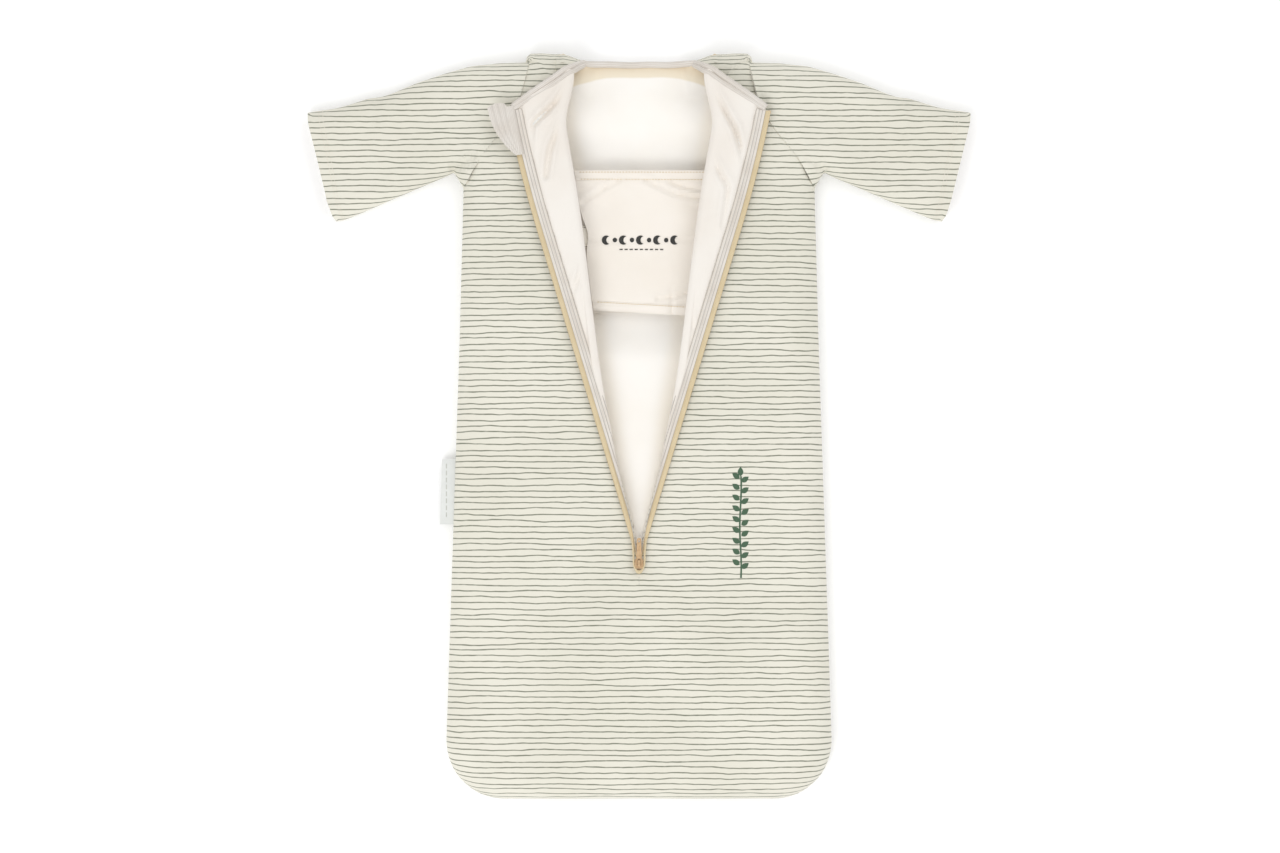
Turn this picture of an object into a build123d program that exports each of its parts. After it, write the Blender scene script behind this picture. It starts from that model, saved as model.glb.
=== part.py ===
"""Baby sleeping bag with sleeves, lying on its back with its front zip open and both lapels folded back.

Millimetres. +X is to the right of someone looking down on the bag, +Y points to the head end, +Z is up.
The origin is the middle of the footprint, at floor level. Every wall is three layers: a printed shell,
wadding and a lining. A lapel is drawn where it lies when the bag is zipped up, and is then turned back about
its fold line, so the hinge that closes it again is exact.
"""

import os
from math import cos, radians, sin, tan

from build123d import *

# Body, flat
FOOT_Y = -353.0
HEAD_Y = 353.0
FOOT_HALF_WIDTH = 184.5
ARMPIT = (164.5, 236.0)
STRAP_CORNER = (104.0, HEAD_Y)
FOOT_RADIUS = 56.0
ARMPIT_RADIUS = 30.0
STRAP_RADIUS = 24.0

# Layers, and the height of the bag as it lies
SHELL = 1.0
WADDING = 3.6
LINING = 0.8
WALL = SHELL + WADDING + LINING
TOP_Z = 34.0
TOP_ROUND = 20.0

# Front opening: the fold lines start at the foot of the zip and spread to the shoulders
ZIP_FOOT_Y = -132.8
FOLD_ANGLE = 8.45
HINGE_Z = 37.0
LAPEL_REST = 175.0
LAPEL_FOOT_Y = -60.0
LAPEL_GAP = 1.0
NECK_FRONT_Y = 317.0
NECK_FOLD_Y = 335.0
BINDING = 5.0

# Zip
TAPE_EDGE = 0.6
TAPE_BODY_EDGE = 6.0
TAPE_WIDTH = 11.0
TAPE_HALF = 0.35
TAPE_FOOT_Y = -123.0
COIL = (0.4, 3.0)
COIL_HEIGHT = 2.0
CHAIN_TOP_Y = 308.0
SLIDER_REST_Y = -129.0
SLIDER_HALF = 5.0
SLIDER_HALF_WIDTH = 4.0
PIVOT_Z = HINGE_Z + 4.75
PULL_LENGTH = 24.0

# Back neck
NECK_HALF = 60.0
NECK_BACK_Y = 346.4

# Sleeve: the armhole line runs from the strap corner to the armpit
SLEEVE_HEIGHT = 26.0
SLEEVE_ROUND = 10.0
SLEEVE_SHELL = 1.0
SLEEVE_LINING = 0.7
CUFF_HEM = (0.9, 14.0)
HEAD_BAND = 24.0
SLEEVE_GAP = 0.3
CUFF_TOP = (314.7, 297.0)
CUFF_FOOT = (287.0, 194.0)
ARM_HOLE_HALF = 52.0
ARM_HOLE_TOP = 24.0

# Swaddle wrap, sewn to the back lining under the chest
WRAP_Y = (107.0, 242.0)
WRAP_HALF = 88.0
WRAP_CLOTH = 1.4
UNDER_Z = 14.0
OVER_Z = 17.6
OVER_CLOTH = 1.6
WING_MARGIN = 3.5
PATCH_CLOTH = 1.0

MIRROR = Plane.YZ


def polygon(*points):
    return make_face(Polyline(*points, close=True))


def prism(face, low, high):
    return extrude(Pos(0, 0, low) * face, amount=high - low, dir=(0, 0, 1))


def block(x, y, z):
    """A box from three (low, high) pairs."""
    size = [high - low for low, high in (x, y, z)]
    middle = [(high + low) / 2 for low, high in (x, y, z)]
    return Pos(*middle) * Box(*size)


def fold_x(y, margin=0.0):
    """How far the fold line is from the middle of the bag at y, less a margin."""
    return (y - ZIP_FOOT_Y) * tan(radians(FOLD_ANGLE)) - margin


# ---- body shells ----


def outline(inset):
    """The body's flat outline, moved in by inset. All its corners are convex."""
    sharp = polygon(
        (-FOOT_HALF_WIDTH, FOOT_Y),
        (FOOT_HALF_WIDTH, FOOT_Y),
        ARMPIT,
        STRAP_CORNER,
        (-STRAP_CORNER[0], HEAD_Y),
        (-ARMPIT[0], ARMPIT[1]),
    )
    face = offset(sharp, -inset, kind=Kind.INTERSECTION) if inset else sharp
    rounds = ((FOOT_RADIUS, -1e6, 0), (ARMPIT_RADIUS, 0, 300), (STRAP_RADIUS, 300, 1e6))
    for radius, low, high in rounds:
        corners = [v for v in face.vertices() if low < v.Y < high and is_corner(v, inset)]
        face = fillet(corners, radius - inset)
    return face


def is_corner(vertex, inset):
    """Whether a vertex is one of the outline's own corners and not the end of a rounding."""
    near = 3 * inset + 1
    own = ((FOOT_HALF_WIDTH, FOOT_Y), ARMPIT, STRAP_CORNER)
    return any(abs(abs(vertex.X) - x) < near and abs(vertex.Y - y) < near for x, y in own)


def tray(inset):
    """The solid under the front panel, moved in by inset: rounded all along its top."""
    solid = prism(outline(inset), SHELL, TOP_Z - inset)
    top = solid.faces().sort_by(Axis.Z)[-1]
    return fillet(top.edges(), TOP_ROUND - inset)


def v_opening():
    high = HEAD_Y + 20
    return prism(
        polygon((0, ZIP_FOOT_Y), (fold_x(high), high), (-fold_x(high), high)),
        SHELL / 2,
        TOP_Z + 30,
    )


def armhole_frame():
    """Middle of the right armhole line, its direction towards the armpit, and its angle."""
    run = Vector(*ARMPIT) - Vector(*STRAP_CORNER)
    middle = (Vector(*ARMPIT) + Vector(*STRAP_CORNER)) / 2
    return middle, run.normalized(), Vector(1, 0).get_signed_angle(run, Vector(0, 0, 1))


def across_armhole(along, outward, height):
    """A block laid out from the right armhole line: along it, outward from it, and up."""
    middle, _, angle = armhole_frame()
    return Pos(middle.X, middle.Y, 0) * Rot(0, 0, angle) * block(along, outward, height)


def arm_passage():
    hole = across_armhole((-ARM_HOLE_HALF, ARM_HOLE_HALF), (-45, 40), (WALL, ARM_HOLE_TOP))
    return hole + mirror(hole, MIRROR)


def front_layer(outer_inset, inner_inset):
    return tray(outer_inset) - tray(inner_inset) - v_opening() - arm_passage()


def back_layer(inset, low, high):
    neck = block(
        (-NECK_HALF - 2, NECK_HALF + 2), (NECK_BACK_Y - BINDING, HEAD_Y + 1), (-1, high + 1)
    )
    return prism(outline(inset), low, high) - neck


def back_neck_binding():
    bar = block(
        (-NECK_HALF - 1.8, NECK_HALF + 1.8),
        (NECK_BACK_Y - BINDING + 0.1, NECK_BACK_Y),
        (0.4, WALL + 0.8),
    )
    return fillet(bar.edges().filter_by(Axis.X), 1.5)


def side_label():
    edge = FOOT_HALF_WIDTH - (FOOT_HALF_WIDTH - ARMPIT[0]) * (-62 - FOOT_Y) / (ARMPIT[1] - FOOT_Y)
    label = polygon((-edge - 15.4, -93), (-edge - 1.3, -93), (-edge + 0.9, -31), (-edge - 13.2, -31))
    return prism(label, 2.0, 3.2)


# ---- lapels, zipped up and then turned back ----


def turned_back(shape):
    """The left lapel as it lies open: turned about the left fold line from its zipped-up place."""
    angle = radians(FOLD_ANGLE)
    fold = Axis((0, ZIP_FOOT_Y, HINGE_Z), (-sin(angle), cos(angle), 0))
    return shape.rotate(fold, -LAPEL_REST)


def lapel_plan(zip_edge, foot_y, neck_inset, fold_gap):
    """The left lapel's outline when zipped up, between the fold line and the zip."""
    top = NECK_FOLD_Y - neck_inset
    front = NECK_FRONT_Y - neck_inset
    half_y = (top + front) / 2 - 1
    foot = (-fold_x(foot_y, fold_gap), foot_y)
    fold_top = (-fold_x(top, fold_gap), top)
    neck = ThreePointArc(fold_top, (-fold_x(half_y) / 2, half_y), (-zip_edge, front))
    sides = Polyline((-zip_edge, front), (-zip_edge, foot_y), foot, fold_top)
    return make_face([*neck.edges(), *sides.edges()])


def lapel_layer(depth, thickness):
    """One layer of the left lapel, depth below the top of the front panel."""
    plan = lapel_plan(TAPE_BODY_EDGE, LAPEL_FOOT_Y, BINDING, LAPEL_GAP)
    return prism(plan, TOP_Z - depth - thickness, TOP_Z - depth)


def lapel_shell():
    """The printed shell of the lapel, with the raised welt that the zip tape is sewn to."""
    plan = lapel_plan(TAPE_BODY_EDGE, LAPEL_FOOT_Y, BINDING, LAPEL_GAP)
    welt = prism(plan, TOP_Z, HINGE_Z - TAPE_HALF) & block(
        (-TAPE_WIDTH, 0), (FOOT_Y, HEAD_Y), (TOP_Z, HINGE_Z)
    )
    return lapel_layer(0, SHELL) + welt


def lapel_neck_binding():
    outer = lapel_plan(TAPE_BODY_EDGE, LAPEL_FOOT_Y, 0, LAPEL_GAP)
    inner = lapel_plan(TAPE_BODY_EDGE, LAPEL_FOOT_Y, BINDING - 0.05, LAPEL_GAP)
    band = prism(outer, TOP_Z - WALL - 0.4, TOP_Z + 0.4) - prism(inner, 0, TOP_Z + 2)
    return band & block((-90, 0), (NECK_FRONT_Y - 30, HEAD_Y), (0, 60))


def zip_facing():
    """The pale strip that covers the raw edge of the lining along the zip."""
    plan = lapel_plan(TAPE_BODY_EDGE, LAPEL_FOOT_Y, BINDING, LAPEL_GAP + 0.6)
    strip = prism(plan, TOP_Z - WALL - 0.8, TOP_Z - WALL)
    return strip & block((-TAPE_BODY_EDGE - 7.6, 0), (FOOT_Y, HEAD_Y), (0, 60))


def zip_tape():
    top = CHAIN_TOP_Y + 5
    full_y = ZIP_FOOT_Y + (TAPE_WIDTH + 0.3) / tan(radians(FOLD_ANGLE))
    plan = polygon(
        (-TAPE_EDGE, TAPE_FOOT_Y),
        (-TAPE_EDGE, top),
        (-TAPE_WIDTH, top),
        (-TAPE_WIDTH, full_y),
        (-fold_x(TAPE_FOOT_Y, 0.3), TAPE_FOOT_Y),
    )
    return prism(plan, HINGE_Z - TAPE_HALF, HINGE_Z + TAPE_HALF)


def zip_coil():
    low = HINGE_Z + TAPE_HALF
    bar = block((-COIL[1], -COIL[0]), (TAPE_FOOT_Y + 8, CHAIN_TOP_Y), (low, low + COIL_HEIGHT))
    return fillet(bar.edges().filter_by(Axis.Y).group_by(Axis.Z)[-1], 0.7)


def top_stop():
    low = HINGE_Z + TAPE_HALF
    stop = block(
        (-3.4, -TAPE_EDGE), (CHAIN_TOP_Y + 0.3, CHAIN_TOP_Y + 3.5), (low, low + 2.4)
    )
    return fillet(stop.edges().filter_by(Axis.Y).group_by(Axis.Z)[-1], 0.8)


def chin_guard():
    """Soft tab at the top of the left zip. Zipped up, it lies behind the top of the zip."""
    high = TOP_Z - WALL - 1.1
    plan = polygon(
        (-TAPE_BODY_EDGE - 6, 262),
        (-TAPE_BODY_EDGE + 1, 256),
        (16, 296),
        (17, 304),
        (11, 309),
        (-TAPE_BODY_EDGE - 6, 310),
    )
    return prism(plan, high - 1.6, high)


LAPEL_PIECES = {
    "lapel_shell": lapel_shell,
    "lapel_wadding": lambda: lapel_layer(SHELL, WADDING),
    "lapel_lining": lambda: lapel_layer(SHELL + WADDING, LINING),
    "lapel_neck_binding": lapel_neck_binding,
    "zip_facing": zip_facing,
    "zip_tape": zip_tape,
    "zip_coil": zip_coil,
    "zip_top_stop": top_stop,
}


# ---- slider and pull ----


def slider_body():
    """Two plates joined by the divider at the head end, with side flanges that hold the coil in."""
    y = (SLIDER_REST_Y - SLIDER_HALF, SLIDER_REST_Y + SLIDER_HALF)
    x = (-SLIDER_HALF_WIDTH, SLIDER_HALF_WIDTH)
    coil_top = HINGE_Z + TAPE_HALF + COIL_HEIGHT + 0.25
    bottom = block(x, y, (HINGE_Z - 1.75, HINGE_Z - 0.6))
    top = block(x, y, (coil_top, coil_top + 1.1))
    divider = block((-0.9, 0.9), (y[1] - 2.5, y[1]), (HINGE_Z - 0.6, coil_top))
    plates = [fillet(p.edges().filter_by(Axis.Z), 2.4) for p in (bottom, top)]
    flange = block((3.3, SLIDER_HALF_WIDTH), (y[0] + 2.6, y[1] - 2.6), (HINGE_Z + 0.6, coil_top))
    return plates[0] + plates[1] + divider + flange + mirror(flange, MIRROR)


def slider_bail():
    """The arch on the slider that holds the pull's end bar."""
    low = HINGE_Z + TAPE_HALF + COIL_HEIGHT + 0.25 + 1.1
    arch = block((-1, 1), (SLIDER_REST_Y - 3.2, SLIDER_REST_Y + 3.2), (low, PIVOT_Z + 1.9))
    arch = fillet(arch.edges().filter_by(Axis.X).group_by(Axis.Z)[-1], 1.4)
    window = block((-2, 2), (SLIDER_REST_Y - 2, SLIDER_REST_Y + 2), (low - 1, PIVOT_Z + 1.1))
    return arch - window


def zip_pull():
    """Pull tab: a round end bar under the bail, two arms past it, and a tapered tab with a hole."""
    thick = 1.1
    y = SLIDER_REST_Y
    tab = polygon(
        (-2.5, y), (2.5, y), (2.5, y + 8), (1.9, y + PULL_LENGTH), (-1.9, y + PULL_LENGTH), (-2.5, y + 8)
    )
    plate = prism(tab, PIVOT_Z - thick / 2, PIVOT_Z + thick / 2)
    tip = plate.edges().filter_by(Axis.Z).group_by(Axis.Y)[-1]
    plate = fillet(tip, 1.6)
    window = block((-1.35, 1.35), (y - 1, y + 4.4), (PIVOT_Z - 2, PIVOT_Z + 2))
    hole = Pos(0, y + PULL_LENGTH - 3.2, PIVOT_Z) * Cylinder(1.0, 4)
    bar = Pos(0, y, PIVOT_Z) * Rot(0, 90, 0) * Cylinder(thick / 2, 5)
    return plate - window - hole + bar


def zip_bottom_stop():
    y = SLIDER_REST_Y - SLIDER_HALF
    stop = block((-2.6, 2.6), (y - 4.0, y - 0.8), (TOP_Z, HINGE_Z + 2.2))
    return fillet(stop.edges().filter_by(Axis.Y).group_by(Axis.Z)[-1], 0.9)


# ---- sleeves ----


def sleeve_solid(inset):
    """The right sleeve's solid, moved in by inset, running past its cuff and its armhole."""
    top = (
        ThreePointArc((90, 351.5), (150, 345), (207, 326)),
        Line((207, 326), (CUFF_TOP[0] + 40, CUFF_TOP[1] - 11)),
    )
    rest = Polyline(
        top[1] @ 1,
        (CUFF_FOOT[0] + 35, CUFF_FOOT[1] - 15.5),
        (168, 243.0),
        (130, 260),
        (90, 351.5),
    )
    plan = make_face([*top[0].edges(), *top[1].edges(), *rest.edges()])
    if inset:
        plan = offset(plan, -inset, kind=Kind.INTERSECTION)
    solid = prism(plan, inset, SLEEVE_HEIGHT - inset)
    ends = [f for f in solid.faces() if abs(f.normal_at().Z) > 0.9]
    return fillet([e for f in ends for e in f.edges()], SLEEVE_ROUND - inset)


def cuff_band(near, far):
    """Everything between two distances in from the right cuff's edge."""
    edge = Vector(*CUFF_TOP) - Vector(*CUFF_FOOT)
    middle = (Vector(*CUFF_TOP) + Vector(*CUFF_FOOT)) / 2
    angle = Vector(0, 1).get_signed_angle(edge, Vector(0, 0, 1))
    return Pos(middle.X, middle.Y, 0) * Rot(0, 0, angle) * block(
        (-far, -near), (-150, 150), (-5, SLEEVE_HEIGHT + 5)
    )


def sleeve_tube(outer_inset, inner_inset):
    """A layer of the right sleeve, from its head band to its cuff."""
    layer = sleeve_solid(outer_inset) - sleeve_solid(inner_inset)
    past_head = across_armhole((-150, 150), (HEAD_BAND, 300), (-5, SLEEVE_HEIGHT + 5))
    return layer & past_head & cuff_band(0, 400)


def sleeve_head():
    """The eased band that joins the right sleeve to its armhole, and gives when the sleeve swings."""
    layer = sleeve_solid(0) - sleeve_solid(SLEEVE_SHELL + SLEEVE_LINING)
    return layer & across_armhole(
        (-150, 150), (0.2, HEAD_BAND - SLEEVE_GAP), (-5, SLEEVE_HEIGHT + 5)
    )


def cuff_hem():
    inner = SLEEVE_SHELL + SLEEVE_LINING
    layer = sleeve_solid(inner) - sleeve_solid(inner + CUFF_HEM[0])
    return layer & cuff_band(0, CUFF_HEM[1])


SLEEVE_PIECES = {
    "sleeve_head": sleeve_head,
    "sleeve_shell": lambda: sleeve_tube(0, SLEEVE_SHELL),
    "sleeve_lining": lambda: sleeve_tube(SLEEVE_SHELL, SLEEVE_SHELL + SLEEVE_LINING),
    "cuff_hem": cuff_hem,
}


# ---- swaddle wrap ----


def wrap_anchor():
    low = WALL + 0.2
    return block((-WRAP_HALF, WRAP_HALF), WRAP_Y, (low, low + WRAP_CLOTH))


def wrap_under_wing():
    """From the anchor's left end, up and across under the other wing."""
    side = block((-WRAP_HALF - WRAP_CLOTH, -WRAP_HALF), WRAP_Y, (WALL + 0.2, UNDER_Z + WRAP_CLOTH))
    return side + block((-WRAP_HALF, 24), WRAP_Y, (UNDER_Z, UNDER_Z + WRAP_CLOTH))


def wing_plan(hinge_gap, end_gap, low_y, high_y):
    """The part of the over wing that shows in the open front."""
    return polygon(
        (fold_x(low_y, hinge_gap), low_y),
        (fold_x(high_y, hinge_gap), high_y),
        (-fold_x(high_y, end_gap), high_y),
        (-fold_x(low_y, end_gap), low_y),
    )


def wrap_over_wing():
    plan = wing_plan(WING_MARGIN, WING_MARGIN, *WRAP_Y)
    return prism(plan, OVER_Z, OVER_Z + OVER_CLOTH)


def wrap_over_side():
    """From the anchor's right end, up and in to the fold of the over wing."""
    side = block((WRAP_HALF, WRAP_HALF + WRAP_CLOTH), WRAP_Y, (WALL + 0.2, OVER_Z + OVER_CLOTH))
    low, high = WRAP_Y
    plan = polygon(
        (fold_x(low, WING_MARGIN - 0.4), low),
        (WRAP_HALF, low),
        (WRAP_HALF, high),
        (fold_x(high, WING_MARGIN - 0.4), high),
    )
    return side + prism(plan, OVER_Z, OVER_Z + OVER_CLOTH)


def wrap_top_hem():
    """The double hem along the over wing's top edge."""
    high = WRAP_Y[1] - 1
    plan = wing_plan(WING_MARGIN + 0.5, WING_MARGIN + 0.5, high - 9, high)
    return prism(plan, OVER_Z + OVER_CLOTH, OVER_Z + OVER_CLOTH + 0.8)


def hook_patch():
    return block((-30, -8), (125, 225), (OVER_Z - PATCH_CLOTH, OVER_Z))


def loop_patch():
    low = UNDER_Z + WRAP_CLOTH
    return block((-34, 14), (122, 228), (low, low + PATCH_CLOTH))


def care_label():
    low = UNDER_Z + WRAP_CLOTH
    return block((-60, -37.5), (168, 192), (low, low + 0.5))


PLAIN_PIECES = {
    "outer_back": lambda: back_layer(0, 0, SHELL),
    "wadding_back": lambda: back_layer(WALL + 0.1, SHELL, SHELL + WADDING),
    "lining_back": lambda: back_layer(WALL + 0.1, SHELL + WADDING, WALL),
    "outer_front": lambda: front_layer(0, SHELL),
    "wadding_front": lambda: front_layer(SHELL, SHELL + WADDING),
    "lining_front": lambda: front_layer(SHELL + WADDING, WALL),
    "back_neck_binding": back_neck_binding,
    "side_label": side_label,
    "care_label": care_label,
    "zip_bottom_stop": zip_bottom_stop,
    "zip_slider_body": slider_body,
    "zip_slider_bail": slider_bail,
    "zip_pull": zip_pull,
    "wrap_anchor": wrap_anchor,
    "wrap_under_wing": wrap_under_wing,
    "wrap_over_side": wrap_over_side,
    "wrap_over_wing": wrap_over_wing,
    "wrap_top_hem": wrap_top_hem,
    "hook_patch": hook_patch,
    "loop_patch": loop_patch,
}


def write(name, shape):
    export_step(shape, f"parts/{name}.step")


def main():
    os.makedirs("parts", exist_ok=True)
    for name, make in PLAIN_PIECES.items():
        write(name, make())
    for name, make in LAPEL_PIECES.items():
        left = turned_back(make())
        write(name + "_left", left)
        write(name + "_right", mirror(left, MIRROR))
    write("chin_guard", turned_back(chin_guard()))
    for name, make in SLEEVE_PIECES.items():
        right = make()
        write(name + "_right", right)
        write(name + "_left", mirror(right, MIRROR))


main()
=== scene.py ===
"""Looks for the baby sleeping bag: cloth, padding, zip, wrap and labels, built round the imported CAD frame.

Lengths are in millimetres until a mesh is made. +X is right, +Y is the head end, +Z is up out of the front.
"""

from math import cos, pi, radians, sin, tan
from typing import NamedTuple

import bpy
import numpy as np
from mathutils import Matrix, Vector, noise
from mathutils.geometry import delaunay_2d_cdt


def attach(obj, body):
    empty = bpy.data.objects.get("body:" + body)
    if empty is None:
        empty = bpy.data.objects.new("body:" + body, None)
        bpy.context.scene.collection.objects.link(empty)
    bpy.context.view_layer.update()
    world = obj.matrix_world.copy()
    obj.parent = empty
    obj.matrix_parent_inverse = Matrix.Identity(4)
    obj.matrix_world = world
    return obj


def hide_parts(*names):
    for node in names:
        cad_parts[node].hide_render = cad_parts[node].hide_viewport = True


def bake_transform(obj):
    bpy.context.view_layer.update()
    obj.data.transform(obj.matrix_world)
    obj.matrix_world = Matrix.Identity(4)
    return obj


MM = 0.001

# Shared with the CAD
FOOT_Y = -353.0
ZIP_FOOT_Y = -132.8
FOLD = radians(8.45)
HINGE_Z = 37.0
LAPEL_SLOPE = radians(5.0)
FOOT_HALF = 184.5

# Right sleeve in plan: its corners, the armpit 10 mm below the CAD's, and the direction it runs in
ARMPIT = (166.5, 226.0)
CUFF_TOP = (314.5, 298.0)
CUFF_FOOT = (287.5, 194.5)
SLEEVE_RUN = np.array([0.888, 0.459])

# Body as it lies
BODY_TOP = 34.0
SLEEVE_TOP = 22.0
SEAM_Z = 11.0
BODY_ROUND = 32.0
SLEEVE_ROUND = 20.0
BACK_ROUND = 24.0
FLOOR_LIFT = 0.4
SHARP_ANGLE = radians(52.0)
CLOTH = 0.9
WADDING = (1.1, 3.3)
LINING_DEPTH = 4.7
MESH_SPACING = 7.0
STRIPE_PITCH = 5.55

# Zip and lapels
TAPE_EDGE = 0.6
TAPE_WIDTH = 11.0
TAPE_SHOWS = 5.8
FACING_WIDTH = 9.0
COIL_PITCH = 1.5
ZIP_LENGTH = 436
LAPEL_START = 12.0
FOLD_BOW = [(20, 0), (110, 6.0), (180, 7.8), (350, 4.6), (420, 5.8), (474, -9.0)]
ZIP_EASE = 6.0
TOP_AT_FOLD = 474.0
TOP_AT_ZIP = 446.0

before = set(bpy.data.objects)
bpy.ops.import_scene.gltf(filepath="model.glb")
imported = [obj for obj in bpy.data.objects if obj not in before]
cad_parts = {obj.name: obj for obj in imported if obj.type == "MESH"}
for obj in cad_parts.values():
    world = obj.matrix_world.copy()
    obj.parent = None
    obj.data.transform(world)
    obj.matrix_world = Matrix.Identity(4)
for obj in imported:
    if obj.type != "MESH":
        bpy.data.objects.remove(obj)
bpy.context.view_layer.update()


# ---- small helpers ----


def srgb(r, g, b):
    """An sRGB colour in 0-255 as linear RGBA."""

    def linear(c):
        c /= 255
        return c / 12.92 if c <= 0.04045 else ((c + 0.055) / 1.055) ** 2.4

    return (linear(r), linear(g), linear(b), 1.0)


def smoothstep(x, low=0.0, high=1.0):
    t = np.clip((np.asarray(x, float) - low) / (high - low), 0, 1)
    return t * t * (3 - 2 * t)


def hump(away, width):
    """1 where away is 0, and falling off smoothly on both sides of it."""
    return np.exp(-((away / width) ** 2))


def quarter_round(x):
    """0 at 0 with an upright tangent, 1 from 1 on with a level one."""
    t = np.clip(x, 0, 1)
    return np.sqrt(1 - (1 - t) ** 2)


def wave_noise(points, scale, seed=0.0):
    """Smooth noise, about -1 to 1, over plan positions."""
    shift = 37.1 * seed
    return np.array([noise.noise(Vector((x / scale + shift, y / scale - shift, seed))) for x, y in points])


def turned(vector, angle):
    """A plan vector, turned to the left."""
    x, y = vector
    return np.array([x * cos(angle) - y * sin(angle), x * sin(angle) + y * cos(angle)])


def corner_arc(before, corner, after, radius, steps=8):
    """Points round a polygon corner, rounded to a radius."""
    p, c, n = (np.array(v, float) for v in (before, corner, after))
    a = (p - c) / np.linalg.norm(p - c)
    b = (n - c) / np.linalg.norm(n - c)
    half = np.arccos(np.clip(a @ b, -1, 1)) / 2
    reach = radius / tan(half)
    centre = c + (a + b) / np.linalg.norm(a + b) * radius / sin(half)
    start, end = c + a * reach - centre, c + b * reach - centre
    turn = np.arctan2(start[0] * end[1] - start[1] * end[0], start @ end)
    return [centre + turned(start, turn * i / steps) for i in range(steps + 1)]


def run_length(points):
    """How far along a line each of its points is."""
    return np.concatenate([[0], np.cumsum(np.linalg.norm(np.diff(points, axis=0), axis=1))])


def points_at(points, run, at):
    """Places on a line, from how far along it they are."""
    return np.stack([np.interp(at, run, points[:, k]) for k in range(points.shape[1])], -1)


def resample(points, spacing):
    """The same line with points at even steps of about spacing."""
    points = np.asarray(points, float)
    run = run_length(points)
    count = max(2, int(run[-1] / spacing) + 1)
    return points_at(points, run, np.linspace(0, run[-1], count))


def along(points, share):
    """Points at shares (0 to 1) of a line's length."""
    points = np.asarray(points, float)
    run = run_length(points)
    return points_at(points, run, np.asarray(share) * run[-1])


def smoothed(path, passes):
    """A line with its inner points drawn towards their neighbours."""
    for _ in range(passes):
        path[1:-1] = (path[:-2] + 2 * path[1:-1] + path[2:]) / 4
    return path


def line_distance(points, line):
    """Distance of each plan point to a line of points."""
    best = np.full(len(points), np.inf)
    for a, b in zip(line[:-1], line[1:]):
        run = b - a
        t = np.clip(((points - a) @ run) / max(run @ run, 1e-9), 0, 1)
        best = np.minimum(best, np.linalg.norm(points - (a + t[:, None] * run), axis=1))
    return best


def mirrored(points):
    """The same plan line on the other side, run the other way."""
    return [(-x, y) for x, y in reversed([tuple(p) for p in points])]


def both_sides(points):
    return np.concatenate([points, points * (-1, 1)])


def unit_rows(vectors):
    return vectors / np.linalg.norm(vectors, axis=1)[:, None]


# ---- meshes ----


def vertex_normals(verts, faces):
    normals = np.zeros_like(verts)
    for f in faces:
        a, b, c = verts[f[0]], verts[f[1]], verts[f[2]]
        n = np.cross(b - a, c - a)
        if len(f) == 4:
            d = verts[f[3]]
            n = n + np.cross(c - a, d - a)
        for i in f:
            normals[i] += n
    return normals / np.maximum(np.linalg.norm(normals, axis=1), 1e-9)[:, None]


def add_object(name, verts, faces, material, print_xy=None, smooth=True):
    mesh = bpy.data.meshes.new(name)
    mesh.from_pydata([tuple(v) for v in np.asarray(verts) * MM], [], [list(map(int, f)) for f in faces])
    mesh.update()
    if smooth:
        mesh.shade_smooth()
        mesh.set_sharp_from_angle(angle=SHARP_ANGLE)
    if print_xy is not None:
        layer = mesh.attributes.new("cloth_xy", "FLOAT_VECTOR", "POINT")
        flat = np.concatenate([np.asarray(print_xy, float), np.zeros((len(print_xy), 1))], 1)
        layer.data.foreach_set("vector", (flat * MM).astype(np.float32).ravel())
    obj = bpy.data.objects.new(name, mesh)
    bpy.context.scene.collection.objects.link(obj)
    mesh.materials.append(material)
    return obj


def closed_layer(verts, faces, depth, thickness):
    """A closed sheet from an open one: its face lies depth below the open one's, along the normals."""
    normals = vertex_normals(verts, faces)
    return closed_between(verts - normals * depth, verts - normals * (depth + thickness), faces)


def closed_between(face, back, faces):
    """A closed solid between two open sheets with the same faces."""
    count = len(face)
    edges = {}
    for f in faces:
        for i, a in enumerate(f):
            edges[(a, f[(i + 1) % len(f)])] = True
    rim = [(b, a, a + count, b + count) for a, b in edges if (b, a) not in edges]
    turned = [tuple(i + count for i in reversed(f)) for f in faces]
    return np.concatenate([face, back]), [*faces, *turned, *rim]


def cloth_layer(name, verts, faces, material, cloth_xy, depth=0.0, thickness=CLOTH):
    solid, sides = closed_layer(verts, faces, depth, thickness)
    return add_object(name, solid, sides, material, np.concatenate([cloth_xy, cloth_xy]))


def grid_faces(rows, columns, close_rows=False, flip=False):
    """Quads between the points of a rows x columns grid. close_rows joins the last column to the first."""
    faces = []
    for i in range(rows - 1):
        for j in range(columns if close_rows else columns - 1):
            k = (j + 1) % columns
            quad = (i * columns + j, i * columns + k, (i + 1) * columns + k, (i + 1) * columns + j)
            faces.append(tuple(reversed(quad)) if flip else quad)
    return faces


def tube_faces(rows, columns, flip=False):
    """The quads of a tube of rows rings, with both ends closed."""
    faces = grid_faces(rows, columns, close_rows=True, flip=flip)
    first = tuple(range(columns))
    last = tuple(range((rows - 1) * columns, rows * columns))
    faces.append(first if flip else tuple(reversed(first)))
    faces.append(tuple(reversed(last)) if flip else last)
    return faces


TRIANGLE_ROW = 0.87
RING_DEPTHS = (0.9, 2.4, 5.0, 9.0, 14.0, 20.0, 26.0)
INSIDE_RINGS = 29.0


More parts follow.
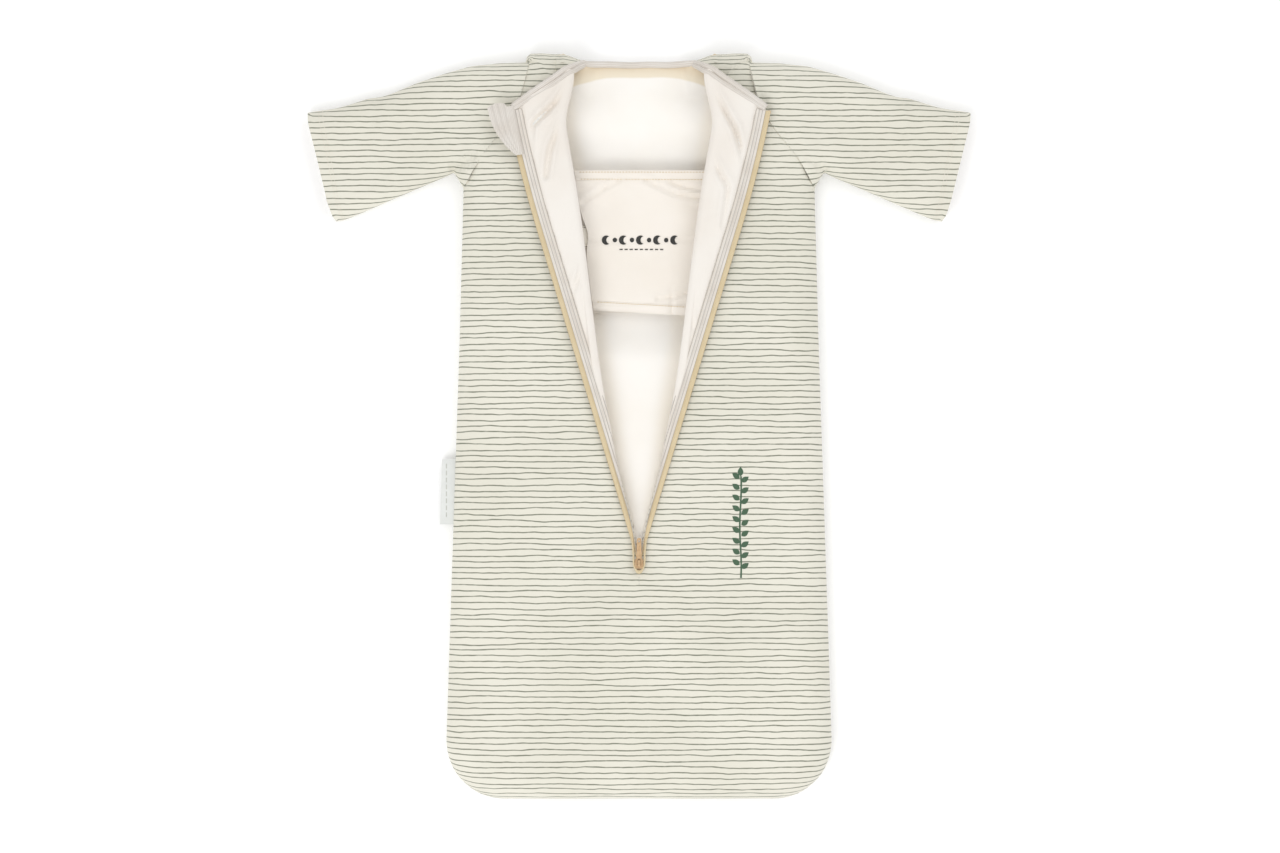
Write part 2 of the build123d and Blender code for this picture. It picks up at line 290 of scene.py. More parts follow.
def plan_mesh(outline, spacing, extra=()):
    """Triangles that fill a plan outline, with points about spacing apart and any extra points inside.

    Extra points are rings along the edges, so the even field of points starts inside the last ring.
    """
    outline = np.asarray(outline, float)
    low, high = outline.min(0), outline.max(0)
    xs = np.arange(low[0] + spacing / 2, high[0], spacing)
    ys = np.arange(low[1] + spacing / 2, high[1], spacing * TRIANGLE_ROW)
    field = np.array([(x + spacing / 2 * (j % 2), y) for j, y in enumerate(ys) for x in xs]).reshape(-1, 2)
    ring = np.concatenate([outline, outline[:1]])
    extra = np.asarray(extra, float).reshape(-1, 2)
    if len(extra):
        extra = extra[inside(extra, outline) & (line_distance(extra, ring) > 0.5)]
    field = field[inside(field, outline)]
    field = field[line_distance(field, ring) > (INSIDE_RINGS if len(extra) else spacing * 0.6)]
    points = np.concatenate([outline, extra, field])
    count = len(outline)
    verts, _, faces, *_ = delaunay_2d_cdt([Vector(p) for p in points], [], [list(range(count))], 1, 1e-4)
    verts = np.array([tuple(v) for v in verts])
    out = []
    for f in faces:
        a, b, c = (verts[i] for i in f[:3])
        turn = (b[0] - a[0]) * (c[1] - a[1]) - (b[1] - a[1]) * (c[0] - a[0])
        out.append(tuple(f) if turn > 0 else tuple(reversed(f)))
    return verts, out


def inside(points, outline):
    """Which plan points are inside a closed outline."""
    x, y = points[:, 0], points[:, 1]
    odd = np.zeros(len(points), bool)
    for a, b in zip(outline, np.roll(outline, -1, axis=0)):
        if a[1] == b[1]:
            continue
        crosses = (a[1] > y) != (b[1] > y)
        at = a[0] + (y - a[1]) * (b[0] - a[0]) / (b[1] - a[1])
        odd ^= crosses & (x < at)
    return odd


def sweep(path, half_width, half_height, sideways, columns=12, power=2.0):
    """Rings of an oval section along a path. sideways is the section's width direction at each point.

    A power over 2 makes the oval squarer.
    """
    path = np.asarray(path, float)
    rows = len(path)
    side = np.broadcast_to(np.asarray(sideways, float), (rows, 3))
    run = unit_rows(np.gradient(path, axis=0))
    side = unit_rows(side - (side * run).sum(1)[:, None] * run)
    up = np.cross(run, side)
    angle = np.linspace(0, 2 * pi, columns, endpoint=False)
    wide, high = (np.sign(v) * np.abs(v) ** (2 / power) for v in (np.cos(angle), np.sin(angle)))
    across = wide[None, :, None] * np.broadcast_to(half_width, rows)[:, None, None]
    rise = high[None, :, None] * np.broadcast_to(half_height, rows)[:, None, None]
    rings = path[:, None] + side[:, None] * across + up[:, None] * rise
    return rings.reshape(-1, 3), tube_faces(rows, columns)


def stitches(name, paths, material, pitch=3.4, length=2.3, radius=0.32):
    """Small raised stitches along 3-D paths."""
    verts, faces = [], []
    for path in paths:
        path = np.asarray(path, float)
        run = run_length(path)
        for at in np.arange(pitch, run[-1] - pitch, pitch):
            ends = [points_at(path, run, at + half) for half in (-length / 2, length / 2)]
            axis = (ends[1] - ends[0]) / np.linalg.norm(ends[1] - ends[0])
            side = np.cross(axis, (0, 0, 1))
            side = side / max(np.linalg.norm(side), 1e-6) * radius
            up = np.cross(side, axis)
            base = len(verts)
            verts.append(ends[0])
            for share in (0.25, 0.75):
                mid = ends[0] * (1 - share) + ends[1] * share
                verts += [mid + side, mid + up, mid - side, mid - up]
            verts.append(ends[1])
            for k in range(4):
                n = (k + 1) % 4
                faces.append((base, base + 1 + n, base + 1 + k))
                faces.append((base + 1 + k, base + 1 + n, base + 5 + n, base + 5 + k))
                faces.append((base + 9, base + 5 + k, base + 5 + n))
    return add_object(name, np.array(verts), faces, material)


# ---- what the pieces stand for ----


def mount(piece, body, slot, *nodes):
    """A piece rides on its body, if it has one, and stands for CAD nodes, which are hidden. slot is not used.
    """
    if body:
        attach(piece, body)
    if nodes:
        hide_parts(*nodes)


def declare_sheet(flat, area, rests_on=()):
    """flat is the cut's width and length in millimetres, and area its flat area."""
    width, length = flat
    area = min(area, width * length) * MM * MM


def mesh_area(verts, faces):
    """Area of an open mesh, in square millimetres."""
    total = 0.0
    for f in faces:
        for k in range(1, len(f) - 1):
            total += np.linalg.norm(np.cross(verts[f[k]] - verts[f[0]], verts[f[k + 1]] - verts[f[0]])) / 2
    return total


# ---- materials ----


class Value:
    """A number that a node gives. Arithmetic on it adds Math nodes."""

    def __init__(self, nodes, socket):
        self.nodes = nodes
        self.socket = socket

    def __add__(self, other):
        return self.nodes.math("ADD", self, other)

    def __sub__(self, other):
        return self.nodes.math("SUBTRACT", self, other)

    def __rsub__(self, other):
        return self.nodes.math("SUBTRACT", other, self)

    def __mul__(self, other):
        return self.nodes.math("MULTIPLY", self, other)

    def __truediv__(self, other):
        return self.nodes.math("DIVIDE", self, other)

    def __abs__(self):
        return self.nodes.math("ABSOLUTE", self)


class Nodes:
    """Short names for building a material's node tree."""

    def __init__(self, name, rough=0.85, sheen=0.0):
        self.material = bpy.data.materials.new(name)
        self.material.use_nodes = True
        self.tree = self.material.node_tree
        self.shader = self.tree.nodes["Principled BSDF"]
        self.set_shader(Roughness=rough, Sheen_Weight=sheen, Sheen_Roughness=0.5)

    def set_shader(self, **values):
        for key, value in values.items():
            self.shader.inputs[key.replace("_", " ")].default_value = value

    def put(self, socket, value):
        if isinstance(value, Value):
            value = value.socket
        if isinstance(value, bpy.types.NodeSocket):
            self.tree.links.new(value, socket)
        else:
            socket.default_value = value

    def add(self, kind, **inputs):
        node = self.tree.nodes.new(kind)
        for key, value in inputs.items():
            self.put(node.inputs[key.replace("_", " ")], value)
        return node

    def math(self, operation, a, b=0.0):
        node = self.tree.nodes.new("ShaderNodeMath")
        node.operation = operation
        self.put(node.inputs[0], a)
        self.put(node.inputs[1], b)
        return Value(self, node.outputs[0])

    def sine(self, value, wavelength):
        return self.math("SINE", value * (2 * pi / (wavelength * MM)))

    def cloth_xy(self):
        """Place in the cloth as it was printed or knitted."""
        node = self.tree.nodes.new("ShaderNodeAttribute")
        node.attribute_name = "cloth_xy"
        return node.outputs["Vector"]

    def object_xyz(self):
        return self.tree.nodes.new("ShaderNodeTexCoord").outputs["Object"]

    def parts(self, vector):
        return [Value(self, socket) for socket in self.add("ShaderNodeSeparateXYZ", Vector=vector).outputs]

    def vector(self, x, y):
        return self.add("ShaderNodeCombineXYZ", X=x, Y=y).outputs[0]

    def noise(self, vector, scale, detail=2.0, roughness=0.5):
        node = self.add("ShaderNodeTexNoise", Vector=vector, Scale=scale, Detail=detail, Roughness=roughness)
        return Value(self, node.outputs["Fac"])

    def ramp(self, value, low, high):
        """0 at low, 1 at high, smooth between."""
        node = self.add("ShaderNodeMapRange", Value=value, From_Min=low, From_Max=high)
        node.interpolation_type = "SMOOTHSTEP"
        return Value(self, node.outputs[0])

    def mix(self, share, a, b):
        node = self.tree.nodes.new("ShaderNodeMix")
        node.data_type = "RGBA"
        for index, value in ((0, share), (6, a), (7, b)):
            self.put(node.inputs[index], value)
        return node.outputs[2]

    def blotches(self, vector, scale, detail, a, b, low=0.3, high=0.7):
        """Soft patches of two colours."""
        return self.mix(self.ramp(self.noise(vector, scale, detail), low, high), a, b)

    def knit(self, vector, wale=0.9, course=0.7):
        """Height of a fine knit: columns of small loops."""
        x, y, _ = self.parts(vector)
        across = x * (2 * pi / (wale * MM))
        lean = self.math("COSINE", across) * 1.4
        loops = self.math("SINE", y * (2 * pi / (course * MM)) + lean)
        return abs(self.math("SINE", across * 0.5)) * (loops * 0.35 + 0.65)

    def bump(self, height, distance, strength=1.0, under=None):
        node = self.add("ShaderNodeBump", Height=height, Distance=distance, Strength=strength)
        if under is not None:
            self.put(node.inputs["Normal"], under)
        return node.outputs[0]

    def finish(self, color, normal):
        self.put(self.shader.inputs["Base Color"], color)
        self.put(self.shader.inputs["Normal"], normal)
        return self.material


def printed_jersey():
    """Cream jersey with thin grey-green lines, drawn by hand: each line wanders and swells by itself."""
    n = Nodes("printed_jersey", sheen=0.12)
    cloth = n.cloth_xy()
    x, y, _ = n.parts(cloth)
    rows = y / (STRIPE_PITCH * MM)
    row = n.math("ROUND", rows)
    lane = row * 3.17
    drift = n.noise(n.vector(x * 17.0, lane), 1.0, 2.0, 0.55)
    wobble = n.noise(n.vector(x * 85.0, lane + 50.0), 1.0, 1.0)
    bend = (drift - 0.5) * 0.98 + (wobble - 0.5) * 0.22
    off = abs(rows - row - bend)
    swell = n.noise(n.vector(x * 60.0, lane + 11.0), 1.0, 2.0)
    line = 1.0 - n.ramp(off - (swell * 0.085 + 0.055), -0.035, 0.045)
    strength = n.ramp(n.noise(cloth, 150.0, 3.0), 0.15, 0.6)
    ink = line * (strength * 0.3 + 0.62)
    cream = n.blotches(cloth, 9.0, 3.0, srgb(225, 222, 208), srgb(231, 228, 215))
    fleck = n.ramp(n.noise(cloth, 900.0, 2.0), 0.62, 0.8)
    cream = n.mix(fleck * 0.25, cream, srgb(214, 210, 194))
    soft = n.bump(n.noise(cloth, 120.0, 2.0), 0.0004, 0.5)
    return n.finish(n.mix(ink, cream, srgb(108, 112, 95)), n.bump(n.knit(cloth), 0.00012, 0.5, under=soft))


def plain_jersey(name, dark, light, wale=0.9):
    """Plain knit with soft blotches of colour and a fine loop texture."""
    n = Nodes(name, rough=0.9, sheen=0.15)
    place = n.object_xyz()
    color = n.blotches(place, 14.0, 3.0, dark, light)
    color = n.mix(n.ramp(n.noise(place, 800.0, 2.0), 0.6, 0.8) * 0.2, color, dark)
    soft = n.bump(n.noise(place, 60.0, 3.0), 0.0006, 0.45)
    return n.finish(color, n.bump(n.knit(place, wale, wale * 0.8), 0.00010, 0.45, under=soft))


def inner_jersey():
    """The back lining: cream, with painted warm shade along the lapels' fold edges and a painted beige shade
    band just below the back neck.
    """
    n = Nodes("inner_jersey", rough=0.9, sheen=0.15)
    x, y, _ = n.parts(n.cloth_xy())
    place = n.object_xyz()
    cream = n.blotches(place, 14.0, 3.0, srgb(250, 246, 239), srgb(253, 250, 245))
    # Painted beige shade below the back neck binding: its edge wanders a little and reaches further down at
    # the corners.
    wander = (n.noise(place, 30.0, 2.0) - 0.5) * 0.003
    corner = n.math("POWER", abs(x), 4.0) * 500.0
    height = y + wander + corner
    # Painted warm shade on the lining along the lapels' fold edges.
    from_fold = (y + 0.1578) * tan(FOLD) - abs(x)
    fold_shade = (1.0 - n.ramp(from_fold, -0.002, 0.014)) * 0.3
    color = n.mix(fold_shade, cream, srgb(248, 236, 214))
    # Two steps of painted beige shade, darkest just under the back neck binding.
    color = n.mix(n.ramp(height, 0.3300, 0.3325), color, srgb(240, 229, 208))
    color = n.mix(n.ramp(height, 0.3320, 0.3440), color, srgb(229, 214, 189))
    soft = n.bump(n.noise(place, 60.0, 3.0), 0.0006, 0.45)
    return n.finish(color, n.bump(n.knit(place), 0.0001, 0.45, under=soft))


def rib_knit(name, pitch, shade):
    """Rib: grooves along the cloth's length, with a little shade in them."""
    n = Nodes(name, rough=0.9, sheen=0.2)
    x, _, _ = n.parts(n.cloth_xy())
    groove = n.sine(x, pitch)
    place = n.object_xyz()
    base = n.blotches(place, 40.0, 3.0, srgb(222, 215, 206), srgb(231, 226, 219))
    soft = n.bump(n.noise(place, 300.0, 2.0), 0.0002, 0.4)
    return n.finish(n.mix(n.ramp(groove, -1.0, -0.35), shade, base), n.bump(groove, 0.00022, 0.6, under=soft))


def woven_tape():
    """Herringbone zip tape."""
    n = Nodes("zip_tape", rough=0.8, sheen=0.1)
    x, y, _ = n.parts(n.cloth_xy())
    twill = n.sine(y + n.math("PINGPONG", x, 1.6 * MM), 0.8)
    base = n.blotches(n.object_xyz(), 50.0, 3.0, srgb(226, 208, 170), srgb(234, 218, 183))
    return n.finish(n.mix(n.ramp(twill, -1.0, 0.4), srgb(211, 190, 150), base), n.bump(twill, 0.00012, 0.6))


def nylon_coil():
    n = Nodes("zip_coil", rough=0.42)
    place = n.object_xyz()
    color = n.blotches(place, 120.0, 2.0, srgb(206, 184, 142), srgb(218, 198, 158))
    return n.finish(color, n.bump(n.noise(place, 2500.0, 1.0), 0.00004, 0.4))


def lacquered_zinc():
    """Tan lacquer over cast zinc: faint speckle, a little wear."""
    n = Nodes("zip_metal")
    n.set_shader(Coat_Weight=0.4)
    place = n.object_xyz()
    color = n.blotches(place, 400.0, 3.0, srgb(188, 153, 111), srgb(204, 171, 129), 0.35, 0.65)
    n.put(n.shader.inputs["Roughness"], n.noise(place, 900.0, 2.0) * 0.2 + 0.28)
    return n.finish(color, n.bump(n.noise(place, 1400.0, 2.0), 0.00003, 0.5))


def satin_label(name, dark, light):
    """Woven satin ribbon: fine weft lines."""
    n = Nodes(name, rough=0.5, sheen=0.1)
    place = n.object_xyz()
    _, y, _ = n.parts(place)
    weft = n.sine(y, 0.5)
    base = n.blotches(place, 60.0, 2.0, dark, light)
    return n.finish(n.mix(n.ramp(weft, -1.0, 0.5), dark, base), n.bump(weft, 0.00005, 0.5))


def fluffy(name, dark, light, scale):
    """Loose fibre: wadding, or the pile of touch tape."""
    n = Nodes(name, rough=1.0, sheen=0.3)
    fibre = n.noise(n.object_xyz(), scale, 5.0, 0.7)
    return n.finish(n.mix(n.ramp(fibre, 0.3, 0.7), dark, light), n.bump(fibre, 0.0008, 0.8))


def printed_ink(name, color):
    """Matte ink that has sunk into the knit."""
    n = Nodes(name, rough=0.85)
    place = n.object_xyz()
    dry = n.ramp(n.noise(place, 700.0, 3.0), 0.55, 0.75)
    shade = tuple(min(1.0, c * 1.7 + 0.02) for c in color[:3]) + (1.0,)
    return n.finish(n.mix(dry * 0.5, color, shade), n.bump(n.knit(place), 0.0001, 0.5))


def thread(name, dark, light):
    n = Nodes(name, rough=0.6, sheen=0.1)
    ply = n.noise(n.object_xyz(), 1800.0, 2.0)
    return n.finish(n.mix(n.ramp(ply, 0.3, 0.7), dark, light), n.bump(ply, 0.0001, 0.6))


def floor_paint():
    n = Nodes("floor_paint", rough=0.9)
    n.set_shader(Emission_Color=(1, 1, 1, 1), Emission_Strength=0.12)
    place = n.object_xyz()
    color = n.blotches(place, 3.0, 2.0, (0.93, 0.93, 0.93, 1), (0.95, 0.95, 0.95, 1), 0.2, 0.8)
    return n.finish(color, n.bump(n.noise(place, 300.0, 1.0), 0.0001, 0.2))


PRINT = printed_jersey()
CREAM = plain_jersey("cream_jersey", srgb(233, 226, 217), srgb(239, 234, 227))
INNER_CREAM = inner_jersey()
WRAP_CREAM = plain_jersey("wrap_jersey", srgb(241, 234, 224), srgb(246, 240, 232), 1.1)
RIB = rib_knit("rib_binding", 1.1, srgb(206, 198, 188))
FACING = rib_knit("zip_facing", 3.0, srgb(186, 180, 172))
TAPE = woven_tape()
COIL = nylon_coil()
METAL = lacquered_zinc()
LABEL = satin_label("label", srgb(222, 224, 221), srgb(233, 235, 232))
CARE_LABEL = satin_label("care_label", srgb(240, 233, 220), srgb(247, 242, 232))
FILL = fluffy("wadding", srgb(226, 226, 222), srgb(244, 244, 240), 260.0)
TOUCH = fluffy("touch_fastener", srgb(226, 219, 206), srgb(243, 238, 228), 900.0)
GREEN_INK = printed_ink("green_ink", srgb(72, 98, 76))
DARK_INK = printed_ink("dark_ink", srgb(58, 58, 56))
CREAM_THREAD = thread("cream_thread", srgb(222, 213, 199), srgb(238, 231, 220))
TAN_THREAD = thread("tan_thread", srgb(206, 186, 148), srgb(222, 204, 170))
GREY_THREAD = thread("grey_thread", srgb(176, 178, 170), srgb(204, 204, 196))


# ---- the bag's outline and height ----


SLEEVE_TOP_EDGE = [(104, 345.5), (131, 345), (160, 342), (186, 334.5), (211, 326), (236, 315.5), (246, 312.5),
                   (256, 311.5), (285, 302.5), CUFF_TOP]
SLEEVE_FOOT_EDGE = [ARMPIT, (170, 232), (175.5, 241), (182, 237.5), (229, 217.5), (268, 200.5), (280, 195.8),
                    CUFF_FOOT]
ARMHOLE = [(106.5, 351.0), (110, 333), (114.5, 313), (120, 298), (133, 279), (150, 257), ARMPIT]
SHOULDER = [(106.5, 351.0), (104.5, 353.8), (92, 354.2), (80, 353.2), (71, 353.5), (62, 350.2), (52, 346.2)]


def body_side():
    """The right side of the body, from the middle of the foot to the armpit."""
    foot, corner = (0.0, FOOT_Y), (FOOT_HALF, FOOT_Y)
    round_corner = corner_arc(foot, corner, ARMPIT, 55.0, 12)
    return [foot, (60, FOOT_Y - 0.3), *round_corner, (176.2, -95), (170.5, 75), ARMPIT]


FREE_EDGES = [
    resample([*body_side(), *SLEEVE_FOOT_EDGE[1:]], 8.0),
    resample(SLEEVE_TOP_EDGE[::-1], 8.0),
    resample(SHOULDER, 4.0),
]


def on_right(points):
    """Plan points, with those on the left brought over to the right."""
    return np.stack([np.abs(points[:, 0]), points[:, 1]], 1)


def edge_gap(points):
    """Distance in from the nearest sewn edge. Cuffs, neck and the open front aren't sewn edges."""
    right = on_right(np.asarray(points, float))
    return np.min([line_distance(right, edge) for edge in FREE_EDGES], axis=0)


def sleeve_share(points):
    """0 on the body, 1 well along a sleeve."""
    points = np.asarray(points, float)
    out = (on_right(points) - (125, 300)) @ SLEEVE_RUN
    return smoothstep(out, -15, 75) * (points[:, 1] > 150)


def armpit_folds(points):
    """Drag lines that run from each armpit into the body and the sleeve."""
    points = np.asarray(points, float)
    x, y = np.abs(points[:, 0]) - ARMPIT[0], points[:, 1] - ARMPIT[1]
    reach = np.hypot(x, y)
    turn = np.arctan2(y, x)
    folds = np.cos(turn * 7.0 + 0.6 * np.sign(points[:, 0])) * hump(reach - 38, 34)
    return folds * smoothstep(turn, 0.8, 2.2)


ARMHOLE_SEAM = ARMHOLE[:-1]
# Width, depth and line of each crease in the front cloth
FRONT_CREASES = [
    (1.6, 1.0, ARMHOLE_SEAM),
    (1.6, 1.0, [(-x, y) for x, y in ARMHOLE_SEAM]),
    (3.0, 3.4, [(-176, 245), (-166, 249), (-153, 254)]),
    (2.6, 2.0, [(176, 243), (168, 248), (156, 256)]),
    (1.5, 2.4, [(-106.5, 352), (-107, 344), (-110, 326)]),
    (1.5, 2.0, [(106.5, 352), (109, 335), (114, 315), (119, 302)]),
    (1.8, 2.6, [(-73, 354), (-76, 346), (-87, 330)]),
    (1.6, 1.8, [(-84, 354), (-78, 342), (-80, 330)]),
    (1.8, 2.4, [(92, 355), (96, 344), (90, 330)]),
    (1.6, 1.8, [(70, 354), (76, 346), (77, 335)]),
    (8.0, 0.9, [(-172, 238), (-160, 250), (-148, 258)]),
    (8.0, 0.8, [(172, 238), (160, 249), (150, 256)]),
    (2.2, 1.6, [(-252, 312), (-246, 300), (-249, 280)]),
    (2.2, 1.4, [(250, 312), (257, 296), (252, 276)]),
    (2.4, 1.4, [(-292, 214), (-262, 226), (-226, 230)]),
    (2.4, 1.4, [(286, 216), (252, 232), (214, 236)]),
    (2.0, 1.0, [(-14, -140), (-17, -128), (-22, -104)]),
    (2.0, 1.0, [(14, -140), (17, -128), (22, -104)]),
]


def groove(points, line, width, depth):
    """A crease pressed into cloth along a line, with a small ridge on each side."""
    away = line_distance(points, np.array(line, float)) / width
    return depth * (0.55 * hump(away - 1.9, 1) - hump(away, 1))


def seam_z(sleeve):
    """Height of the side seam, which is lower along the sleeves."""
    return SEAM_Z * (1 - 0.25 * sleeve)


def top_z(points):
    """Height of the upper printed cloth."""
    points = np.asarray(points, float)
    gap = edge_gap(points)
    sleeve = sleeve_share(points)
    high = BODY_TOP * (1 - sleeve) + SLEEVE_TOP * sleeve
    reach = BODY_ROUND * (1 - sleeve) + SLEEVE_ROUND * sleeve
    seam = seam_z(sleeve)
    z = seam + (high - seam) * quarter_round(gap / reach)
    loose = smoothstep(gap, 2, 45)
    soft = wave_noise(points, 75.0, 1.0) * 1.6 + wave_noise(points, 28.0, 2.0) * 0.5
    edge = wave_noise(points, 17.0, 3.0) * 0.8 * smoothstep(gap, 0, 6) * (1 - smoothstep(gap, 12, 40))
    calm = 1 - 0.75 * smoothstep(-np.abs(points[:, 0]), -150, -90) * (points[:, 1] > -150)
    z = z + (soft - 1.0) * loose * calm + edge + armpit_folds(points) * 1.7
    for width, depth, line in FRONT_CREASES:
        z = z + groove(points, line, width, depth)
    return z


def under_z(points):
    """Height of the lower printed cloth: flat on the floor, and turned up to the seam all round."""
    points = np.asarray(points, float)
    gap = edge_gap(points)
    seam = seam_z(sleeve_share(points))
    z = FLOOR_LIFT + (seam - FLOOR_LIFT) * (1 - quarter_round(gap / BACK_ROUND))
    return z + np.abs(wave_noise(points, 40.0, 4.0)) * 0.7 * (1 - smoothstep(gap, 14, 30))


def fold_x(y):
    """Where the lapel's straight fold line is at a place up the bag."""
    return (y - ZIP_FOOT_Y) * tan(FOLD)


def soft_line(at, points):
    """A smooth line through a few (place, value) points."""
    at = np.asarray(at, float)
    value = np.full(at.shape, float(points[0][1]))
    for (low, a), (high, b) in zip(points[:-1], points[1:]):
        value = value + (b - a) * smoothstep(at, low, high)
    return value


def fold_bow(t):
    """How far the soft fold lies outside the straight line from the zip's foot to the shoulder."""
    return soft_line(t, FOLD_BOW)


def zip_ease(t):
    """How far the open zip is drawn in from its straight line near the neck."""
    return ZIP_EASE * np.clip((np.asarray(t, float) - 330.0) / 116.0, 0, 1) ** 2


def zip_reach(t):
    """How far out from the fold's straight line the open zip lies."""
    return np.asarray(t, float) * tan(FOLD) - zip_ease(t)


def lapel_room(t):
    """Visible width of the open lapel at t."""
    return np.maximum(zip_reach(t) - fold_bow(t), 1.0)


def cut_x(y):
    """Where the front cloth goes under the lapel's own cloth."""
    t = y - ZIP_FOOT_Y
    return fold_x(y) + np.maximum(fold_bow(t), 0) + np.minimum(10.0, 0.55 * lapel_room(t))


def edge_rings(edge, depths):
    """Extra mesh points just inside a sewn edge, so that its roundness is smooth."""
    run = np.gradient(edge, axis=0)
    inward = unit_rows(np.stack([-run[:, 1], run[:, 0]], 1))
    return np.concatenate([edge + inward * d for d in depths])


def front_outline():
    """The front cloth: the whole body less the open V."""
    v_edge = [(cut_x(y), y) for y in np.linspace(ZIP_FOOT_Y + 4, 322, 60)]
    right = [*v_edge, *resample(SHOULDER[::-1], 5.0), *resample(ARMHOLE_SEAM, 5.0)[1:],
             *resample(body_side()[::-1], 6.0)]
    return np.array([(0.0, ZIP_FOOT_Y), *right, *mirrored(right[:-1])])


def back_outline():
    """The back cloth: the whole body up to the back neck."""
    right = [*resample(body_side(), 6.0), *resample(ARMHOLE[::-1], 5.0)[1:], *resample(SHOULDER, 5.0)[1:]]
    neck = [(x, 345.6 + 0.6 * (abs(x) / 52) ** 2) for x in np.linspace(45, -45, 16)]
    return np.array([*right, *neck, *mirrored(right[1:])])


def silhouette():
    """The right half of the bag's outline in plan."""
    return np.array([*body_side(), *SLEEVE_FOOT_EDGE[1:], *SLEEVE_TOP_EDGE[::-1], *SHOULDER, (0, 346.0)])


def signed_gap(points):
    """Distance in from the nearest sewn edge, negative outside the bag."""
    return edge_gap(points) * np.where(inside(on_right(points), silhouette()), 1, -1)


def spare_length(gap, reach, high):
    """Extra cloth from a place near a rounded edge to where the cloth is level, over its plan length."""
    run = np.linspace(0, 1, 200) ** 2 * reach
    rise = high * quarter_round(run / reach)
    slope = np.hypot(np.diff(run), np.diff(rise)) - np.diff(run)
    spare = np.concatenate([np.cumsum(slope[::-1])[::-1], [0]])
    return np.interp(gap, run, spare)


def cloth_place(points, upper=True):
    """Where the print falls: it goes round the edges with the cloth."""
    out = np.array(points, float)
    step = np.array([0.0, 0.8])
    toward = (signed_gap(points - step) - signed_gap(points + step)) / 1.6
    sleeve = sleeve_share(points)
    gap = edge_gap(points)
    below = (BACK_ROUND, SEAM_Z)
    on_body = spare_length(gap, *((BODY_ROUND, BODY_TOP - SEAM_Z) if upper else below))
    on_sleeve = spare_length(gap, *((SLEEVE_ROUND, SLEEVE_TOP - SEAM_Z) if upper else below))
    out[:, 1] += np.clip(toward, -1, 1) * (on_body * (1 - sleeve) + on_sleeve * sleeve)
    return out


def make_front():
    rings = np.concatenate([edge_rings(resample(body_side(), 6.0), RING_DEPTHS),
                            edge_rings(resample(SHOULDER, 4.0), RING_DEPTHS[:4])])
    flat, faces = plan_mesh(front_outline(), MESH_SPACING, both_sides(rings))
    verts = np.column_stack([flat, top_z(flat)])
    place = cloth_place(flat)
    area = mesh_area(verts, faces)
    shell = cloth_layer("front_shell", verts, faces, PRINT, place)
    mount(shell, "bag", "printed_jersey", "outer_front")
    declare_sheet((395, 735), area)
    fill = cloth_layer("front_wadding", verts, faces, FILL, place, *WADDING)
    mount(fill, "bag", "wadding", "wadding_front")
    lining = cloth_layer("front_lining", verts, faces, CREAM, place, LINING_DEPTH)
    mount(lining, "bag", "cream_jersey", "lining_front")
    declare_sheet((390, 730), area)


def make_back():
    rings = both_sides(edge_rings(resample(body_side(), 6.0), RING_DEPTHS))
    heights = np.arange(ZIP_FOOT_Y + 5, 60, 6.0)
    opening = [(fold_x(y) * share, y) for y in heights for share in (0.35, 0.7, 1.0, 1.3)]
    extra = np.concatenate([rings, both_sides(np.array(opening))])
    flat, faces = plan_mesh(back_outline(), MESH_SPACING, extra)
    faces = [tuple(reversed(f)) for f in faces]
    verts = np.column_stack([flat, under_z(flat)])
    shell = cloth_layer("back_shell", verts, faces, PRINT, cloth_place(flat, upper=False))
    mount(shell, "bag", "printed_jersey", "outer_back")
    declare_sheet((395, 735), mesh_area(verts, faces))
    make_back_inside(flat, faces, verts)


def back_loft(points):
    """How far the back's padding stands up inside: flat under the wrap, and highest at the zip's foot."""
    points = np.asarray(points, float)
    x, y = points[:, 0], points[:, 1]
    inside_edge = smoothstep(edge_gap(points), 8, 60)
    below_wrap = smoothstep(-y, -100, -60)
    above_wrap = smoothstep(y, 248, 285) * smoothstep(-y, -346, -318)
    foot_of_zip = hump(y - ZIP_FOOT_Y - 12, 48) * hump(x, 42)
    creases = wave_noise(points * (1.0, 0.35), 26.0, 6.0) * 0.9 + wave_noise(points, 60.0, 7.0) * 0.9
    opening = np.maximum(fold_x(y) + fold_bow(y - ZIP_FOOT_Y), 1.0)
    ridge = smoothstep(1 - np.abs(x) / opening, -0.45, 0.05) * smoothstep(-y, -80, 60) * (y > ZIP_FOOT_Y)
    loft = 11.0 * below_wrap + 9.5 * above_wrap + 9.0 * foot_of_zip + 5.0 * ridge + 0.9 + creases
    return loft * inside_edge


def make_back_inside(flat, faces, verts):
    """Wadding and lining of the back. The lining lies on the wadding, whose top stands up with its loft."""
    lift = np.column_stack([np.zeros_like(flat), back_loft(flat)])
    normals = vertex_normals(verts, faces)
    solid, sides = closed_between(verts - normals * 1.0, verts - normals * 4.0 + lift, faces)
    fill = add_object("back_fill", solid, sides, FILL)
    mount(fill, "bag", "wadding", "wadding_back")
    solid, sides = closed_between(verts - normals * 4.25 + lift, verts - normals * 5.0 + lift, faces)
    lining = add_object("back_lining", solid, sides, INNER_CREAM, np.concatenate([flat, flat]))
    mount(lining, "bag", "cream_jersey", "lining_back")
    declare_sheet((395, 735), mesh_area(verts, faces), ["back_fill"])


make_front()
make_back()


# ---- sleeves ----


CUFF_LINE = [CUFF_TOP, (313.6, 288), (296, 216), (291, 200), CUFF_FOOT]


def sleeve_plan(u, c):
    """Plan place on the right sleeve: u from armhole to cuff, c from its top edge to its lower edge."""
    head = along(ARMHOLE, c)[None]
    cuff = along(CUFF_LINE, c)[None]
    top = along(SLEEVE_TOP_EDGE, u)[:, None]
    low = along(SLEEVE_FOOT_EDGE, u)[:, None]
    u, c = u[:, None, None], c[None, :, None]
    straight = head * (1 - u) + cuff * u
    return straight + (top - straight[:, :1]) * (1 - c) + (low - straight[:, -1:]) * c


